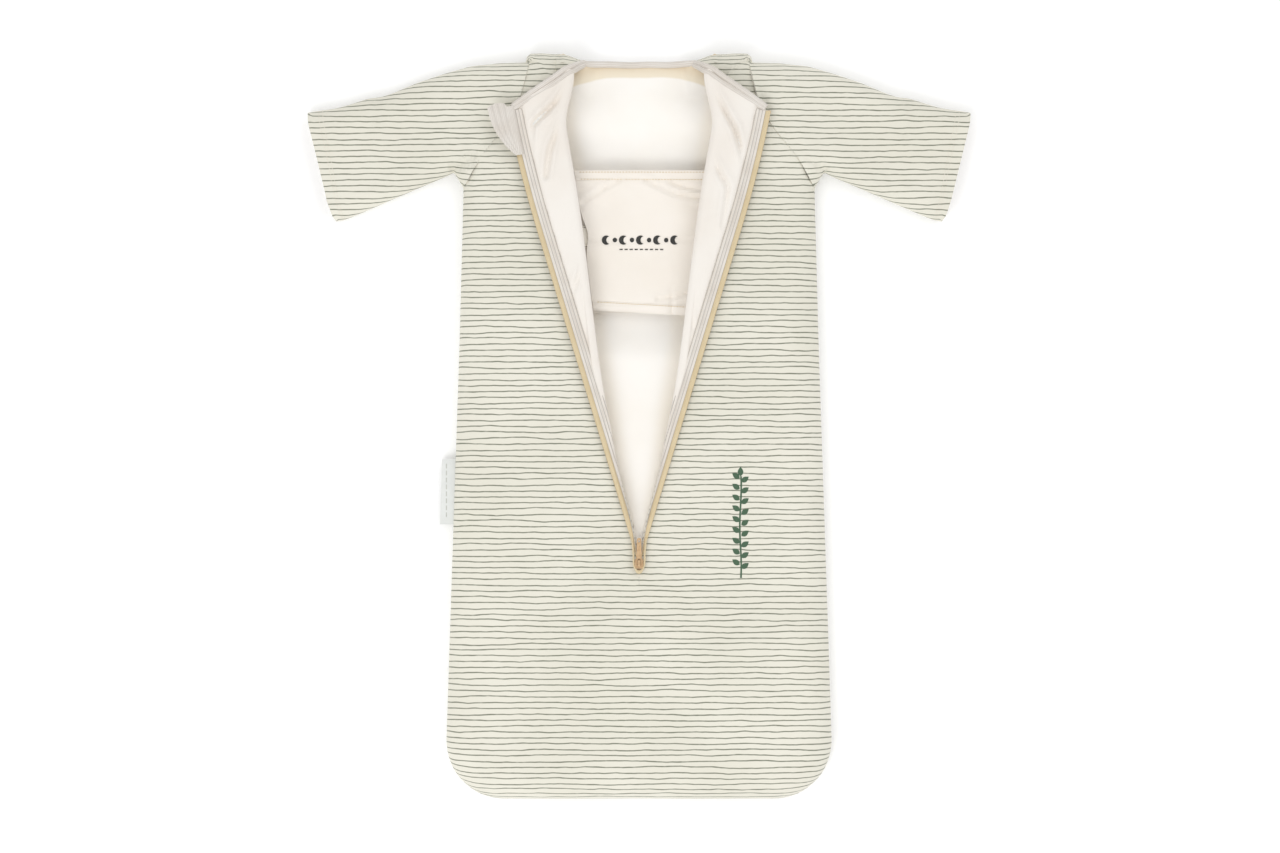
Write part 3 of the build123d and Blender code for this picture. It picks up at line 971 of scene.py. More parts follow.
def sleeve_tube(side, inset, u_low=0.0, rows=46, half_columns=28):
    """An open tube of the sleeve's cloth from u_low to the cuff, moved in by inset."""
    angle = np.linspace(0, pi, half_columns + 1)
    plan = sleeve_plan(np.linspace(u_low, 1.0, rows), (1 - np.cos(angle)) / 2) * (side, 1)
    flat = plan.reshape(-1, 2)
    lower = under_z(flat)
    upper = np.maximum(top_z(flat), lower + 0.3)

    def round_tube(above, below):
        """Rings of both cloths. The edges belong to the upper cloth."""
        shape = (rows, half_columns + 1, -1)
        return np.concatenate([above.reshape(shape), below.reshape(shape)[:, -2:0:-1]], axis=1)

    ring = round_tube(np.column_stack([flat, upper]), np.column_stack([flat, lower]))
    place = round_tube(cloth_place(flat), cloth_place(flat, upper=False))
    faces = grid_faces(rows, ring.shape[1], close_rows=True, flip=side < 0)
    verts = ring.reshape(-1, 3)
    verts = verts - vertex_normals(verts, faces) * inset
    return verts, faces, place.reshape(-1, 2)


def make_sleeve_cloth(side, name, kind, nodes, material, slot, inset, thickness):
    """The shell or the lining, from the armhole to the cuff."""
    verts, faces, place = sleeve_tube(side, inset)
    piece = cloth_layer(f"sleeve_cloth_{kind}_{name}", verts, faces, material, place, 0.0, thickness)
    mount(piece, None, slot, *(f"{node}_{name}" for node in nodes))
    declare_sheet((260, 235), mesh_area(verts, faces))
    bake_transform(piece)


def make_cuff(side, name):
    """The hem inside the cuff, and two rows of stitching that show outside."""
    verts, faces, place = sleeve_tube(side, 2.1, u_low=0.93, rows=6)
    hem = cloth_layer(f"sleeve_cloth_hem_{name}", verts, faces, CREAM, place, 0.0, 0.8)
    mount(hem, f"{name}_sleeve", "cream_jersey", f"cuff_hem_{name}")
    declare_sheet((230, 20), mesh_area(verts, faces))
    rings = 121
    verts, _, _ = sleeve_tube(side, -0.15, rows=rings)
    grid = verts.reshape(rings, -1, 3)
    rows = [np.concatenate([grid[k], grid[k][:1]]) for k in (rings - 9, rings - 7)]
    seam = stitches(f"cuff_stitches_{name}", rows, CREAM_THREAD, 3.0, 2.0, 0.22)
    mount(seam, f"{name}_sleeve", "cream_jersey")


def make_sleeve(side, name):
    shell_nodes = ("sleeve_shell", "sleeve_head")
    make_sleeve_cloth(side, name, "shell", shell_nodes, PRINT, "printed_jersey", 0.0, CLOTH)
    make_sleeve_cloth(side, name, "lining", ("sleeve_lining",), CREAM, "cream_jersey", 1.2, 0.7)
    make_cuff(side, name)


make_sleeve(-1, "left")
make_sleeve(1, "right")


# ---- lapels ----


def fold_point(side, t, q, z):
    """A point from its place in a lapel's own frame: t along the fold, q in from it, z over the hinge."""
    t, q, z = np.broadcast_arrays(np.asarray(t, float), q, z)
    x = -t * sin(FOLD) + q * cos(FOLD)
    y = ZIP_FOOT_Y + t * cos(FOLD) + q * sin(FOLD)
    return np.stack([-side * x, y, HINGE_Z + z], -1)


def zipped(side, t, s):
    """Where a point s across the fold lies in the plan when the front is zipped up."""
    return fold_point(side, t, s, 0.0)[..., :2]


def tape_edge(t):
    """How much of the tape shows past the lapel's cloth."""
    return np.minimum(TAPE_SHOWS, 0.92 * lapel_room(t))


def facing_width(t):
    return np.minimum(FACING_WIDTH, 0.92 * (lapel_room(t) - tape_edge(t)))


def lapel_top(share):
    """How far along the fold the neck edge is, at a share of the way from the fold to the zip."""
    return TOP_AT_FOLD + (TOP_AT_ZIP - TOP_AT_FOLD) * np.clip(share, 0, 1) ** 0.8


class Layer(NamedTuple):
    """One cloth of a lapel: how it turns at the fold and where it lies."""

    kind: str
    inner: float  # how far from the fold the cloth turns
    roll: float  # radius of the turn
    root: float  # run under the front
    low: float  # height over the hinge where the lapel is narrow
    loft: float  # further height where it is wide
    end: float  # height at the zip
    spread: float  # share of the half turn that has points
    rise: float  # how late the cloth under the front comes up to the turn
    sunk: float  # depth under the front's printed cloth


# The lining has no points near the middle of its turn, so that it crosses the fold below the print
# when the lapel turns over.
LINING_LAYER = Layer("lining", inner=0.0, roll=7.0, root=16.0, low=2.0, loft=5.4, end=0.5,
                     spread=0.72, rise=3.0, sunk=6.3)
PRINT_LAYER = Layer("print", inner=3.2, roll=4.5, root=9.5, low=0.1, loft=1.4, end=-1.1,
                    spread=1.0, rise=1.0, sunk=0.4)


def round_fold(share, spread):
    """Share of the half turn round the fold, with a gap in its middle where spread is under 1."""
    return np.where(share < 0.5, share * spread, 1 - (1 - share) * spread)


def lapel_section(t, share, layer):
    """Places of one lapel layer, open: q and z in the lapel's own frame, and s, its q when zipped.

    Shares from -1 to 0 run under the front and round the fold, 0 to 1 out to the zip.
    """
    bow, room, edge = fold_bow(t), lapel_room(t), tape_edge(t)
    high = layer.low + layer.loft * smoothstep(room, 12, 50)
    inner = np.minimum(layer.inner, 0.3 * (room - edge))
    roll = np.minimum(layer.roll, 0.45 * (room - edge))
    reach = bow + inner + roll
    root = np.minimum(layer.root, np.maximum(room + bow - reach - 0.8, 0.4))
    width = np.maximum(room - edge - inner - roll, 0.05)
    turn = pi * round_fold(2 * (share + 0.5), layer.spread)
    q_under = -reach - root * -2 * (share + 0.5)
    q_round = -reach + roll * np.sin(turn)
    q_out = -reach - width * share
    flat = facing_width(t)
    raised = width - flat
    crown = quarter_round((width * (1 - share) - flat) / np.maximum(0.75 * raised, 1.0))
    crown = crown * smoothstep(raised, 0, 14)
    crown = np.maximum(crown, 1 - smoothstep(width * share, 0, 3.0))
    lean = tan(LAPEL_SLOPE)
    z_out = layer.end + (high - layer.end) * crown - q_out * lean
    z_round = -high * np.cos(turn) + reach * lean * smoothstep(share, -0.5, 0)
    under, curve = share < -0.5, share <= 0
    q = np.where(under, q_under, np.where(curve, q_round, q_out))
    z = np.where(under, -high, np.where(curve, z_round, z_out))
    s = np.where(under, q_under, np.where(curve, -reach + 4 * reach * (share + 0.5), -q_out))
    return q, z, s


SECTION_SHARES = np.concatenate([
    np.linspace(-1, -0.5, 5)[:-1],
    -0.5 + 0.5 * np.array([0, 0.1, 0.2, 0.3, 0.4, 0.47, 0.53, 0.6, 0.7, 0.8, 0.9]),
    np.linspace(0, 1, 31),
])
LAPEL_ROWS = 200
# Width, depths and lines of the soft creases in each open lapel
CREASE_WIDTH = 2.7
CREASE_DEPTHS = (4.8, 3.4, 2.8)
LEFT_CREASES = [[(-66, 324), (-78, 306), (-101, 284), (-104, 262)], [(-70, 296), (-84, 262), (-88, 236)],
                [(-52, 150), (-66, 122), (-60, 96)]]
RIGHT_CREASES = [[(60, 334), (74, 309), (90, 281), (101, 247), (98, 214)], [(70, 250), (84, 226), (80, 190)],
                 [(44, 110), (56, 84), (50, 60)]]


def crease_lift(side, points):
    """Rise and fall of the open lapel's lining at its creases."""
    lines = LEFT_CREASES if side < 0 else RIGHT_CREASES
    return sum(groove(points[:, :2], line, CREASE_WIDTH, depth) for depth, line in zip(CREASE_DEPTHS, lines))


def lapel_grid(side, layer):
    """One lapel layer, open, and where each of its points lies when zipped."""
    share = np.broadcast_to(SECTION_SHARES, (LAPEL_ROWS, len(SECTION_SHARES))).ravel()
    run = np.repeat(np.linspace(0, 1, LAPEL_ROWS), len(SECTION_SHARES))
    t = LAPEL_START + run * (lapel_top(share) - LAPEL_START)
    q, z, s = lapel_section(t, share, layer)
    points = fold_point(side, t, q, z)
    if layer is LINING_LAYER:
        room = lapel_room(t)
        fade = smoothstep(room, 12, 40) * smoothstep(share, 0.02, 0.2)
        fade = fade * smoothstep(room * (1 - share), 14, 24)
        soft = wave_noise(np.column_stack([t / 30.0, share * 2.4]), 1.0, 4.0 + side)
        points[:, 2] += (crease_lift(side, points) + soft) * fade
    under = share < -0.5 + 1e-6
    low = top_z(points[under, :2]) - layer.sunk
    rise = np.clip(2 * (share[under] + 1), 0, 1) ** layer.rise
    points[under, 2] = low + np.maximum(points[under, 2] - low, 0) * rise
    shape = (LAPEL_ROWS, len(SECTION_SHARES), -1)
    return points.reshape(shape), zipped(side, t, s).reshape(shape)


def blend_at_fold(piece, side, t, q):
    """Bakes the piece's place into its mesh. The middle point on the fold at t and q is worked out but not
    used.
    """
    middle = Vector(fold_point(side, t, q, 0.0) * MM)
    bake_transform(piece)


def make_lapel(side, name):
    """The lapel's two cloths, which bend across its fold, and the wadding between them."""
    grids = {}
    for layer, node, material, slot in (
        (LINING_LAYER, "lapel_lining", CREAM, "cream_jersey"),
        (PRINT_LAYER, "lapel_shell", PRINT, "printed_jersey"),
    ):
        points, place = lapel_grid(side, layer)
        grids[layer.kind] = points
        faces = grid_faces(*points.shape[:2], flip=(side > 0) != (layer is LINING_LAYER))
        verts = points.reshape(-1, 3)
        piece_name = f"lapel_cloth_{layer.kind}_{name}"
        piece = cloth_layer(piece_name, verts, faces, material, place.reshape(-1, 2), 0.0, 0.7)
        mount(piece, None, slot, f"{node}_{name}")
        declare_sheet((112, 462), mesh_area(verts, faces), ["front_shell"])
        blend_at_fold(piece, side, 300.0, 0.0)
    make_lapel_fill(side, name)
    return grids


def make_lapel_fill(side, name):
    """Wadding between the lapel's two cloths, from near the fold to the facing."""
    rows, columns = 80, 12
    t = np.repeat(np.linspace(285.0, TOP_AT_ZIP - 8, rows), columns)
    width = lapel_room(t) - tape_edge(t) - LINING_LAYER.roll
    last = 1 - (facing_width(t) + 4.0) / width
    share = np.tile(np.linspace(0, 1, columns), rows) * (last - 0.03) + 0.03
    q, high, _ = lapel_section(t, share, LINING_LAYER)
    low = lapel_section(t, share, PRINT_LAYER)[1] + 1.0
    high = high + np.minimum(crease_lift(side, fold_point(side, t, q, high)), 0) - 1.9
    upper = fold_point(side, t, q, np.maximum(high, low + 0.1)).reshape(rows, columns, 3)
    lower = fold_point(side, t, q, low).reshape(rows, columns, 3)
    verts = np.concatenate([upper, lower[:, ::-1]], axis=1).reshape(-1, 3)
    piece = add_object(f"lapel_fill_{name}", verts, tube_faces(rows, 2 * columns, side > 0), FILL)
    mount(piece, f"{name}_lapel", "wadding", f"lapel_wadding_{name}")


def zip_line(side, t, inward, z):
    """A point on the open lapel, measured inward from the middle of the zip."""
    q = -(zip_reach(t) - inward)
    return fold_point(side, t, q, z - q * tan(LAPEL_SLOPE))


def strip(name, side, t, inner, outer, z_top, z_low, material, columns, profile):
    """A closed strip along the zip, between two distances in from its middle."""
    rows = []
    flat = []
    rise = profile(np.linspace(0, 1, columns))
    for at, near, far in zip(t, inner, outer):
        across = np.linspace(near, far, columns)
        rows.append(zip_line(side, at, across, z_top + rise))
        rows.append(zip_line(side, at, across[::-1], z_low))
        flat += [(a, at) for a in (*across, *across[::-1])]
    faces = tube_faces(len(t), 2 * columns, side < 0)
    return add_object(name, np.concatenate(rows), faces, material, flat)


def tape_ribs(share):
    """Fine cords woven along the tape."""
    return 0.18 * np.cos(share * 8 * pi) * (share < 0.9)


def facing_ribs(share):
    """Soft cords along the facing, parted by three grooves. Its edges turn down."""
    return 0.8 * np.abs(np.cos(share * 3 * pi)) ** 0.6 - 0.9 * np.abs(2 * share - 1) ** 8


def make_zip_side(side, name):
    """The tape, its facing with two rows of stitches, and the coil."""
    body = f"{name}_lapel"
    t = np.linspace(10, 443.5, 140)
    room, edge, band = lapel_room(t), tape_edge(t), facing_width(t)
    start = TAPE_EDGE * np.minimum(1, t / 60)
    reach = np.minimum(TAPE_WIDTH, edge + 0.4 * (room - edge))
    tape = strip(f"zip_tape_cloth_{name}", side, t, start, reach, 0.35, -0.35, TAPE, 7, tape_ribs)
    mount(tape, body, "zip_tape", f"zip_tape_{name}")
    declare_sheet((12.5, 440), 9.0 * ZIP_LENGTH)
    start, reach = edge - 0.5 * np.minimum(1, edge / 6), edge + band
    facing = strip(f"zip_facing_cloth_{name}", side, t, start, reach, 1.7, 0.55, FACING, 33, facing_ribs)
    mount(facing, body, "rib_binding", f"zip_facing_{name}")
    declare_sheet((14, 440), 10.0 * ZIP_LENGTH, ["lapel_cloth_lining_" + name])
    rows = [zip_line(side, t, edge + band * share, 2.0) for share in (1 / 6, 5 / 6)]
    seam = stitches(f"zip_stitches_{name}", rows, CREAM_THREAD, 3.2, 2.2, 0.24)
    mount(seam, body, "rib_binding")
    mount(make_coil(side, name), body, "zip_coil", f"zip_coil_{name}")


# How far in from the middle of the zip each ring of a loop is, and the ring's size
COIL_RINGS = ((0.15, 0.25), (0.35, 0.62), (1.4, 0.55), (2.7, 0.58), (3.0, 0.2))


def make_coil(side, name):
    """The nylon coil: a row of rounded loops along the tape's edge, on the tape's outer face.

    The right coil is half a pitch along, so that its loops fall between the left one's.
    """
    verts, faces = [], []
    sides = 8
    offset = COIL_PITCH / 2 if side > 0 else 0.0
    for at in np.arange(18.0 + offset, 440.0, COIL_PITCH):
        base = len(verts)
        for inward, size in COIL_RINGS:
            centre = zip_line(side, at, inward, -1.35)
            for a in np.linspace(0, 2 * pi, sides, endpoint=False):
                verts.append(centre + np.array([0.0, cos(a) * size * 0.95, sin(a) * size * 1.55]))
        faces += [tuple(base + i for i in f) for f in tube_faces(len(COIL_RINGS), sides, side < 0)]
    return add_object(f"zip_coil_loops_{name}", np.array(verts), faces, COIL)


LAPELS = {}
for SIDE, NAME in ((-1, "left"), (1, "right")):
    LAPELS[NAME] = make_lapel(SIDE, NAME)
    make_zip_side(SIDE, NAME)


# ---- neck bindings and chin guard ----


def binding_xy(rows, columns, width):
    """Cloth places for a swept binding: its ribs run along it."""
    across = np.linspace(0, 2 * width, columns)
    return np.array([(a, r) for r in range(rows) for a in across])


def make_back_neck():
    """From shoulder to shoulder, where it rises a little."""
    half, rows, columns = 54, 60, 14
    x = np.linspace(half, -half, rows)
    y = 343.2 + (np.abs(x) / half) ** 2 + 0.25 * np.sin(x / 6.0)
    path = np.stack([x, y, 7.2 + 5.5 * smoothstep(np.abs(x), 30, 56)], 1)
    verts, faces = sweep(path, 3.1, 3.4, (0, 1, 0), columns, 2.6)
    piece = add_object("neck_binding_back", verts, faces, RIB, binding_xy(rows, columns, 6))
    mount(piece, "bag", "rib_binding", "back_neck_binding")


def make_side_neck(side, name):
    """From the back neck, up over the lapel's fold and out along its neck edge to the zip."""
    lining, shell = LAPELS[name]["lining"][-1], LAPELS[name]["print"][-1]
    fold = int(np.searchsorted(SECTION_SHARES, -0.25))
    lapel = (lining[fold:] + shell[fold:]) / 2
    rise = np.array([(52.5, 344.0, 12.5), (56.0, 342.0, 20.0), (59.5, 340.0, 29.0)]) * (side, 1, 1)
    path = smoothed(resample(np.concatenate([rise, lapel]), 2.5), 6)
    share = np.linspace(0, 1, len(path))
    thick = 3.1 + 1.4 * hump(share - 0.38, 0.22)
    run = np.gradient(path, axis=0)
    across = unit_rows(np.cross((0, 0, 1), run))
    apart = 1.2 + 1.3 * np.sin(pi * share)
    verts, faces = [], []
    for way in (-1, 1):
        offset = across * (apart * way)[:, None]
        roll, sides = sweep(path + offset, 2.2 + 0.25 * apart, thick, across, 14, 2.4)
        faces += [tuple(i + len(roll) * len(verts) for i in f) for f in sides]
        verts.append(roll)
    place = binding_xy(2 * len(path), 14, 6)
    piece = add_object(f"neck_binding_{name}", np.concatenate(verts), faces, RIB, place)
    mount(piece, None, "rib_binding", f"lapel_neck_binding_{name}")
    over = (path[:, 2] > HINGE_Z + 3) & (share > 0.45)
    line = path + across * 1.6 * side
    line[:, 2] += thick * 0.93
    seam = stitches(f"neck_stitches_{name}", [line[over]], CREAM_THREAD, 3.0, 2.1, 0.25)
    mount(seam, f"{name}_lapel", "rib_binding")
    blend_at_fold(piece, side, TOP_AT_FOLD, -2.0)


GUARD_FOOT = 401.0
GUARD_LENGTH = 46.5
GUARD_WIDTH = 17.0
GUARD_ROOT = 7.0


def make_chin_guard():
    """A soft ribbed tab, sewn in at the top of the left zip and gathered a little at its top.

    k runs from its foot to its top, and share from its root on the lapel out past the zip.
    """
    rows, columns = 30, 21
    k = np.repeat(np.linspace(0, 1, rows), columns)
    share = np.tile(np.linspace(0, 1, columns), rows)
    width = GUARD_WIDTH * (1 - (1 - k) ** 2.2)
    inward = GUARD_ROOT - (GUARD_ROOT + width) * share
    t = GUARD_FOOT + GUARD_LENGTH * k + 4.5 * np.sin(share * pi * 0.9) * k**4 * (share > 0.3)
    gathers = 0.55 * np.sin(share * 9 * pi + k) * np.minimum(1, 3 * share) * k**0.5
    curl = 2.0 * share**3 * k**2
    rise = 2.2 * smoothstep(GUARD_ROOT - inward, 0.5, 3.0)
    verts = np.stack([zip_line(-1, a, b, c) for a, b, c in zip(t, inward, 1.9 + rise + gathers + curl)])
    faces = grid_faces(rows, columns)
    place = np.column_stack([inward, t])
    tab = cloth_layer("chin_guard_tab", verts, faces, RIB, place, 0.0, 1.1)
    mount(tab, "left_lapel", "rib_binding", "chin_guard")
    declare_sheet((30, 52), mesh_area(verts, faces))


ZIP_FOOT_ARM = [(6.6, -105.0, 37.6), (5.7, -114.0, 38.4), (5.2, -121.0, 38.8), (5.1, -128.0, 39.0),
                (4.8, -131.0, 39.2), (3.6, -134.4, 39.8), (1.7, -136.8, 40.2), (0.0, -137.4, 40.2)]


def make_zip_foot():
    """The tape ends, folded round the foot of the opening and over the bottom stop."""
    left_arm = [(-x, y, z) for x, y, z in reversed(ZIP_FOOT_ARM[:-1])]
    path = smoothed(resample([*ZIP_FOOT_ARM, *left_arm], 0.8), 2)
    half_width = 0.95 + 0.8 * (1 - smoothstep(np.abs(path[:, 0]), 0.5, 3.0))
    sideways = np.cross((0, 0, 1), np.gradient(path, axis=0))
    verts, faces = sweep(path, half_width, 0.8, sideways, 12, 2.6)
    foot = add_object("zip_tape_foot", verts, faces, TAPE, binding_xy(len(path), 12, 2))
    mount(foot, "bag", "zip_tape")


def make_top_stop(side, name):
    """A small clamp that ends the coil."""
    path = zip_line(side, np.linspace(441.0, 444.0, 5), 1.8, -1.2)
    verts, faces = sweep(path, 1.5, 1.4, (1, 0, 0), 12, 4.0)
    stop = add_object(f"top_stop_clamp_{name}", verts, faces, METAL)
    mount(stop, f"{name}_lapel", "zip_metal", f"zip_top_stop_{name}")


make_back_neck()
make_side_neck(-1, "left")
make_side_neck(1, "right")
make_chin_guard()
make_zip_foot()
make_top_stop(-1, "left")
make_top_stop(1, "right")


# ---- swaddle wrap ----


WRAP_LOW, WRAP_HIGH = 107.0, 242.5
WRAP_TOP_Z = 19.4
WRAP_HALF = 86
ANCHOR_Z = 8.2
UNDER_WING_Z = 14.9
LEFT_TILT, FALL_TO_RIGHT = 3.2, 6.0
WRAP_CREASES = [[(62, 216), (46, 218), (33, 221), (20, 227), (7, 233)], [(62, 224), (44, 227), (30, 232)],
                [(-52, 213), (-41, 220), (-32, 227), (-19, 233)], [(50, 128), (34, 123), (18, 121)]]


def wrap_z(points):
    """The over wing: slack cloth with level creases under its hem and a fold near its middle."""
    points = np.asarray(points, float)
    x, y = points[:, 0], points[:, 1]
    hem = hump(y - WRAP_HIGH + 9 + 0.03 * x, 1.6) + 0.8 * hump(y - WRAP_HIGH + 15 - 0.02 * x, 2.2)
    middle = hump(y - 176 - 1.2 * np.sin(x / 17), 1.7)
    foot = hump(y - WRAP_LOW - 9 - 0.02 * x, 1.5)
    tuck = hump(x - 31, 1.6) * smoothstep(-y, -138, -122)
    drag = np.cos((x * 0.5 + y) / 7.0) * hump(x - 45, 16) * hump(y - 216, 16)
    drag += np.cos((x * 0.7 - y) / 8.0) * hump(x + 38, 18) * hump(y - 214, 18)
    slack = wave_noise(points * (0.45, 1.0), 22.0, 9.0)
    creases = sum(groove(points, line, 2.2, 1.9) for line in WRAP_CREASES)
    pressed = 0.9 * hem + 1.3 * middle + foot + 1.5 * tuck
    return WRAP_TOP_Z - pressed + 1.4 * drag + slack + creases


def wrap_left_edge(y):
    """The over wing's free end, drawn in a little over the care label."""
    return -(fold_x(y) + fold_bow(y - ZIP_FOOT_Y) + 1.0) + 4.0 * hump(y - 181, 14)


def wrap_tilt(y, across):
    """How far level lines on the over wing tilt: up at its left end, down at its right, none at its top."""
    return (1 - (y - WRAP_LOW) / (WRAP_HIGH - WRAP_LOW)) * (LEFT_TILT - FALL_TO_RIGHT * across)


def wing_grid(heights, inset, past_fold, columns=56):
    """Plan points and faces over the wing, in rows from its free end to past its fold."""
    points = []
    for y in heights:
        left, right = wrap_left_edge(y) + inset, fold_x(y) + past_fold
        points += [(left + (right - left) * u, y + wrap_tilt(y, u)) for u in np.linspace(0, 1, columns)]
    return np.array(points), grid_faces(len(heights), columns)


def wrap_surface(points, lift):
    """Plan points put on the over wing, or a little above it."""
    points = np.asarray(points, float)
    return np.column_stack([points, wrap_z(points) + lift])


def make_wrap():
    """The over wing with its hems, stitches and printed mark."""
    flat, faces = wing_grid(np.linspace(WRAP_LOW, WRAP_HIGH, 60), 0.0, 24)
    verts = wrap_surface(flat, 0.0)
    wing = cloth_layer("wrap_wing_cloth", verts, faces, WRAP_CREAM, flat, 0.0, 1.0)
    mount(wing, None, "cream_jersey", "wrap_over_wing", "wrap_over_side")
    hems = [
        make_hem("top", WRAP_HIGH - 9.5, WRAP_HIGH, "wrap_top_hem"),
        make_hem("foot", WRAP_LOW + 1.5, WRAP_LOW + 9),
        make_hem_stitches(),
        *make_wrap_mark(),
    ]
    declare_sheet((150, 137), mesh_area(verts, faces), ["wrap_under_cloth"])
    hinge = Vector((fold_x(WRAP_LOW) - 3.5, WRAP_LOW, WRAP_TOP_Z))
    for piece in (wing, *hems):
        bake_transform(piece)


def make_hem(label, low, high, *nodes):
    """A doubled, stitched edge of the over wing."""
    flat, faces = wing_grid(np.linspace(low, high, 8), 0.4, 23)
    hem = cloth_layer(f"wrap_hem_{label}", wrap_surface(flat, 0.75), faces, WRAP_CREAM, flat, 0.0, 0.7)
    mount(hem, None, "cream_jersey", *nodes)
    return hem


def make_hem_stitches():
    """Two rows along the top hem and one along the foot hem."""
    rows = []
    for y in (WRAP_HIGH - 1.6, WRAP_HIGH - 8.4, WRAP_LOW + 8.0):
        across = np.linspace(0, 1, 60)
        x = np.linspace(wrap_left_edge(y) + 3, fold_x(y) + 20, 60)
        rows.append(wrap_surface(np.column_stack([x, y + wrap_tilt(y, across)]), 1.0))
    seam = stitches("wrap_hem_stitches", rows, TAN_THREAD, 2.9, 2.3, 0.34)
    mount(seam, None, "cream_jersey")
    return seam


def make_under_wrap():
    """The wrap's part sewn down flat on the back lining, and its under wing, which comes up on the left."""
    y = np.linspace(WRAP_LOW + 1, WRAP_HIGH - 1, 24)
    flat = np.array([(a, b) for b in y for a in np.linspace(-WRAP_HALF, WRAP_HALF, 50)])
    verts = np.column_stack([flat, ANCHOR_Z + 0.5 * wave_noise(flat, 30.0, 11.0)])
    faces = grid_faces(24, 50)
    anchor = cloth_layer("wrap_anchor_cloth", verts, faces, WRAP_CREAM, flat, 0.0, 1.0)
    mount(anchor, "bag", "cream_jersey", "wrap_anchor")
    declare_sheet((172, 134), mesh_area(verts, faces), ["back_lining"])

    turn = np.linspace(-pi / 2, pi / 2, 9)
    bend = [(-WRAP_HALF - 5.0 * cos(a), 11.0 + 3.9 * sin(a)) for a in turn]
    section = np.array([*bend, *[(a, UNDER_WING_Z) for a in np.linspace(-80, 22, 30)]])
    flat = np.array([(x, b) for b in y for x in section[:, 0]])
    verts = np.column_stack([flat, np.tile(section[:, 1], 24) + 0.35 * wave_noise(flat, 24.0, 12.0)])
    faces = grid_faces(24, len(section))
    under = cloth_layer("wrap_under_cloth", verts, faces, WRAP_CREAM, flat, 0.0, 0.9)
    mount(under, "bag", "cream_jersey", "wrap_under_wing")
    declare_sheet((122, 134), mesh_area(verts, faces), ["wrap_anchor_cloth"])


def rectangle(x, y, width, height):
    return [(x, y), (x + width, y), (x + width, y + height), (x, y + height)]


def patch(name, x, y, z, node, body):
    """A soft-cornered patch of touch tape."""
    width, height = x[1] - x[0], y[1] - y[0]
    corners = rectangle(x[0], y[0], width, height)
    outline = []
    for i, corner in enumerate(corners):
        outline += corner_arc(corners[i - 1], corner, corners[(i + 1) % 4], 3.0, 4)
    flat, faces = plan_mesh(np.array(outline), 4.0)
    verts = np.column_stack([flat, np.full(len(flat), z)])
    piece = cloth_layer(name, verts, faces, TOUCH, flat, 0.0, 0.8)
    mount(piece, body, "touch_fastener", node)
    declare_sheet((width, height), mesh_area(verts, faces))


def arc(centre, radius, angles):
    return [(centre[0] + radius * cos(a), centre[1] + radius * sin(a)) for a in angles]


def disc(centre, radius):
    return arc(centre, radius, np.linspace(0, 2 * pi, 18, endpoint=False))


def crescent(centre, radius):
    """A moon: an outer arc and a shallower inner one."""
    outer = arc(centre, radius, np.linspace(0.9, 2 * pi - 0.9, 16))
    tips = np.array(outer[0]), np.array(outer[-1])
    middle = (tips[0] + tips[1]) / 2
    span = np.linalg.norm(tips[0] - tips[1]) / 2
    turn = np.linspace(-pi / 2, pi / 2, 10)
    inner = [(middle[0] - 0.62 * radius * cos(a), middle[1] + span * sin(a)) for a in turn]
    return [*outer, *inner[1:-1]]


def printed_shapes(name, outlines, surface, material):
    """Flat printed shapes that lie on a surface, with a hair of thickness."""
    all_verts, all_faces = [], []
    for outline in outlines:
        flat, faces = plan_mesh(np.array(outline, float), 2.5)
        verts, sides = closed_layer(surface(flat), faces, 0.0, 0.25)
        base = sum(len(v) for v in all_verts)
        all_verts.append(verts)
        all_faces += [tuple(i + base for i in f) for f in sides]
    return add_object(name, np.concatenate(all_verts), all_faces, material)


def make_wrap_mark():
    """A plain row of moons and dots, with a row of short dashes under it."""
    centres = [(-31.0 + i * 8.1, 176.6) for i in range(9)]
    shapes = [disc(centre, 2.1) if i % 2 else crescent(centre, 4.3) for i, centre in enumerate(centres)]
    dashes = [rectangle(-18.5 + i * 4.8, 167.2, 3.0, 1.0) for i in range(9)]
    marks = []
    for name, outlines in (("wrap_mark", shapes), ("wrap_mark_line", dashes)):
        mark = printed_shapes(name, outlines, lambda p: wrap_surface(p, 0.5), DARK_INK)
        mount(mark, None, "cream_jersey")
        marks.append(mark)
    return marks


make_under_wrap()
make_wrap()
patch("loop_patch_tape", (-34, 14), (122, 228), 16.0, "loop_patch", "bag")
patch("hook_patch_tape", (-30, -8), (125, 225), 17.6, "hook_patch", "wrap_wing")


# ---- labels and the mark on the front ----


SIDE_LABEL_FOOT = -93.0
SIDE_LABEL_LENGTH = 62.0
SIDE_LABEL_WIDTH = 15.4


def side_label_z(points):
    """The label droops away from the seam and waves a little along it."""
    return 9.0 - 0.24 * np.clip(-points[:, 0] - 176, 0, 20) + 0.3 * np.sin(points[:, 1] / 9)


def make_side_label():
    """A folded satin label sewn into the left side seam, with a row of plain dashes."""
    grid = []
    for y in SIDE_LABEL_FOOT + SIDE_LABEL_LENGTH * np.linspace(0, 1, 22):
        edge = -(175.8 - 0.034 * (y - SIDE_LABEL_FOOT))
        grid += [(edge + 2.0 - SIDE_LABEL_WIDTH * u, y) for u in np.linspace(0, 1, 8)]
    flat = np.array(grid)
    verts = np.column_stack([flat, side_label_z(flat)])
    label = cloth_layer("side_label_ribbon", verts, grid_faces(22, 8, flip=True), LABEL, flat, -0.5, 1.0)
    mount(label, "bag", "label", "side_label")
    declare_sheet((16, 62), mesh_area(verts, grid_faces(22, 8)))
    dashes = [rectangle(-183.4, SIDE_LABEL_FOOT + 7 + i * 6.6, 0.8, 4.4) for i in range(8)]
    mark = printed_shapes("side_label_dashes", dashes,
                          lambda p: np.column_stack([p, side_label_z(p) + 0.7]), GREY_THREAD)
    mount(mark, "bag", "label")


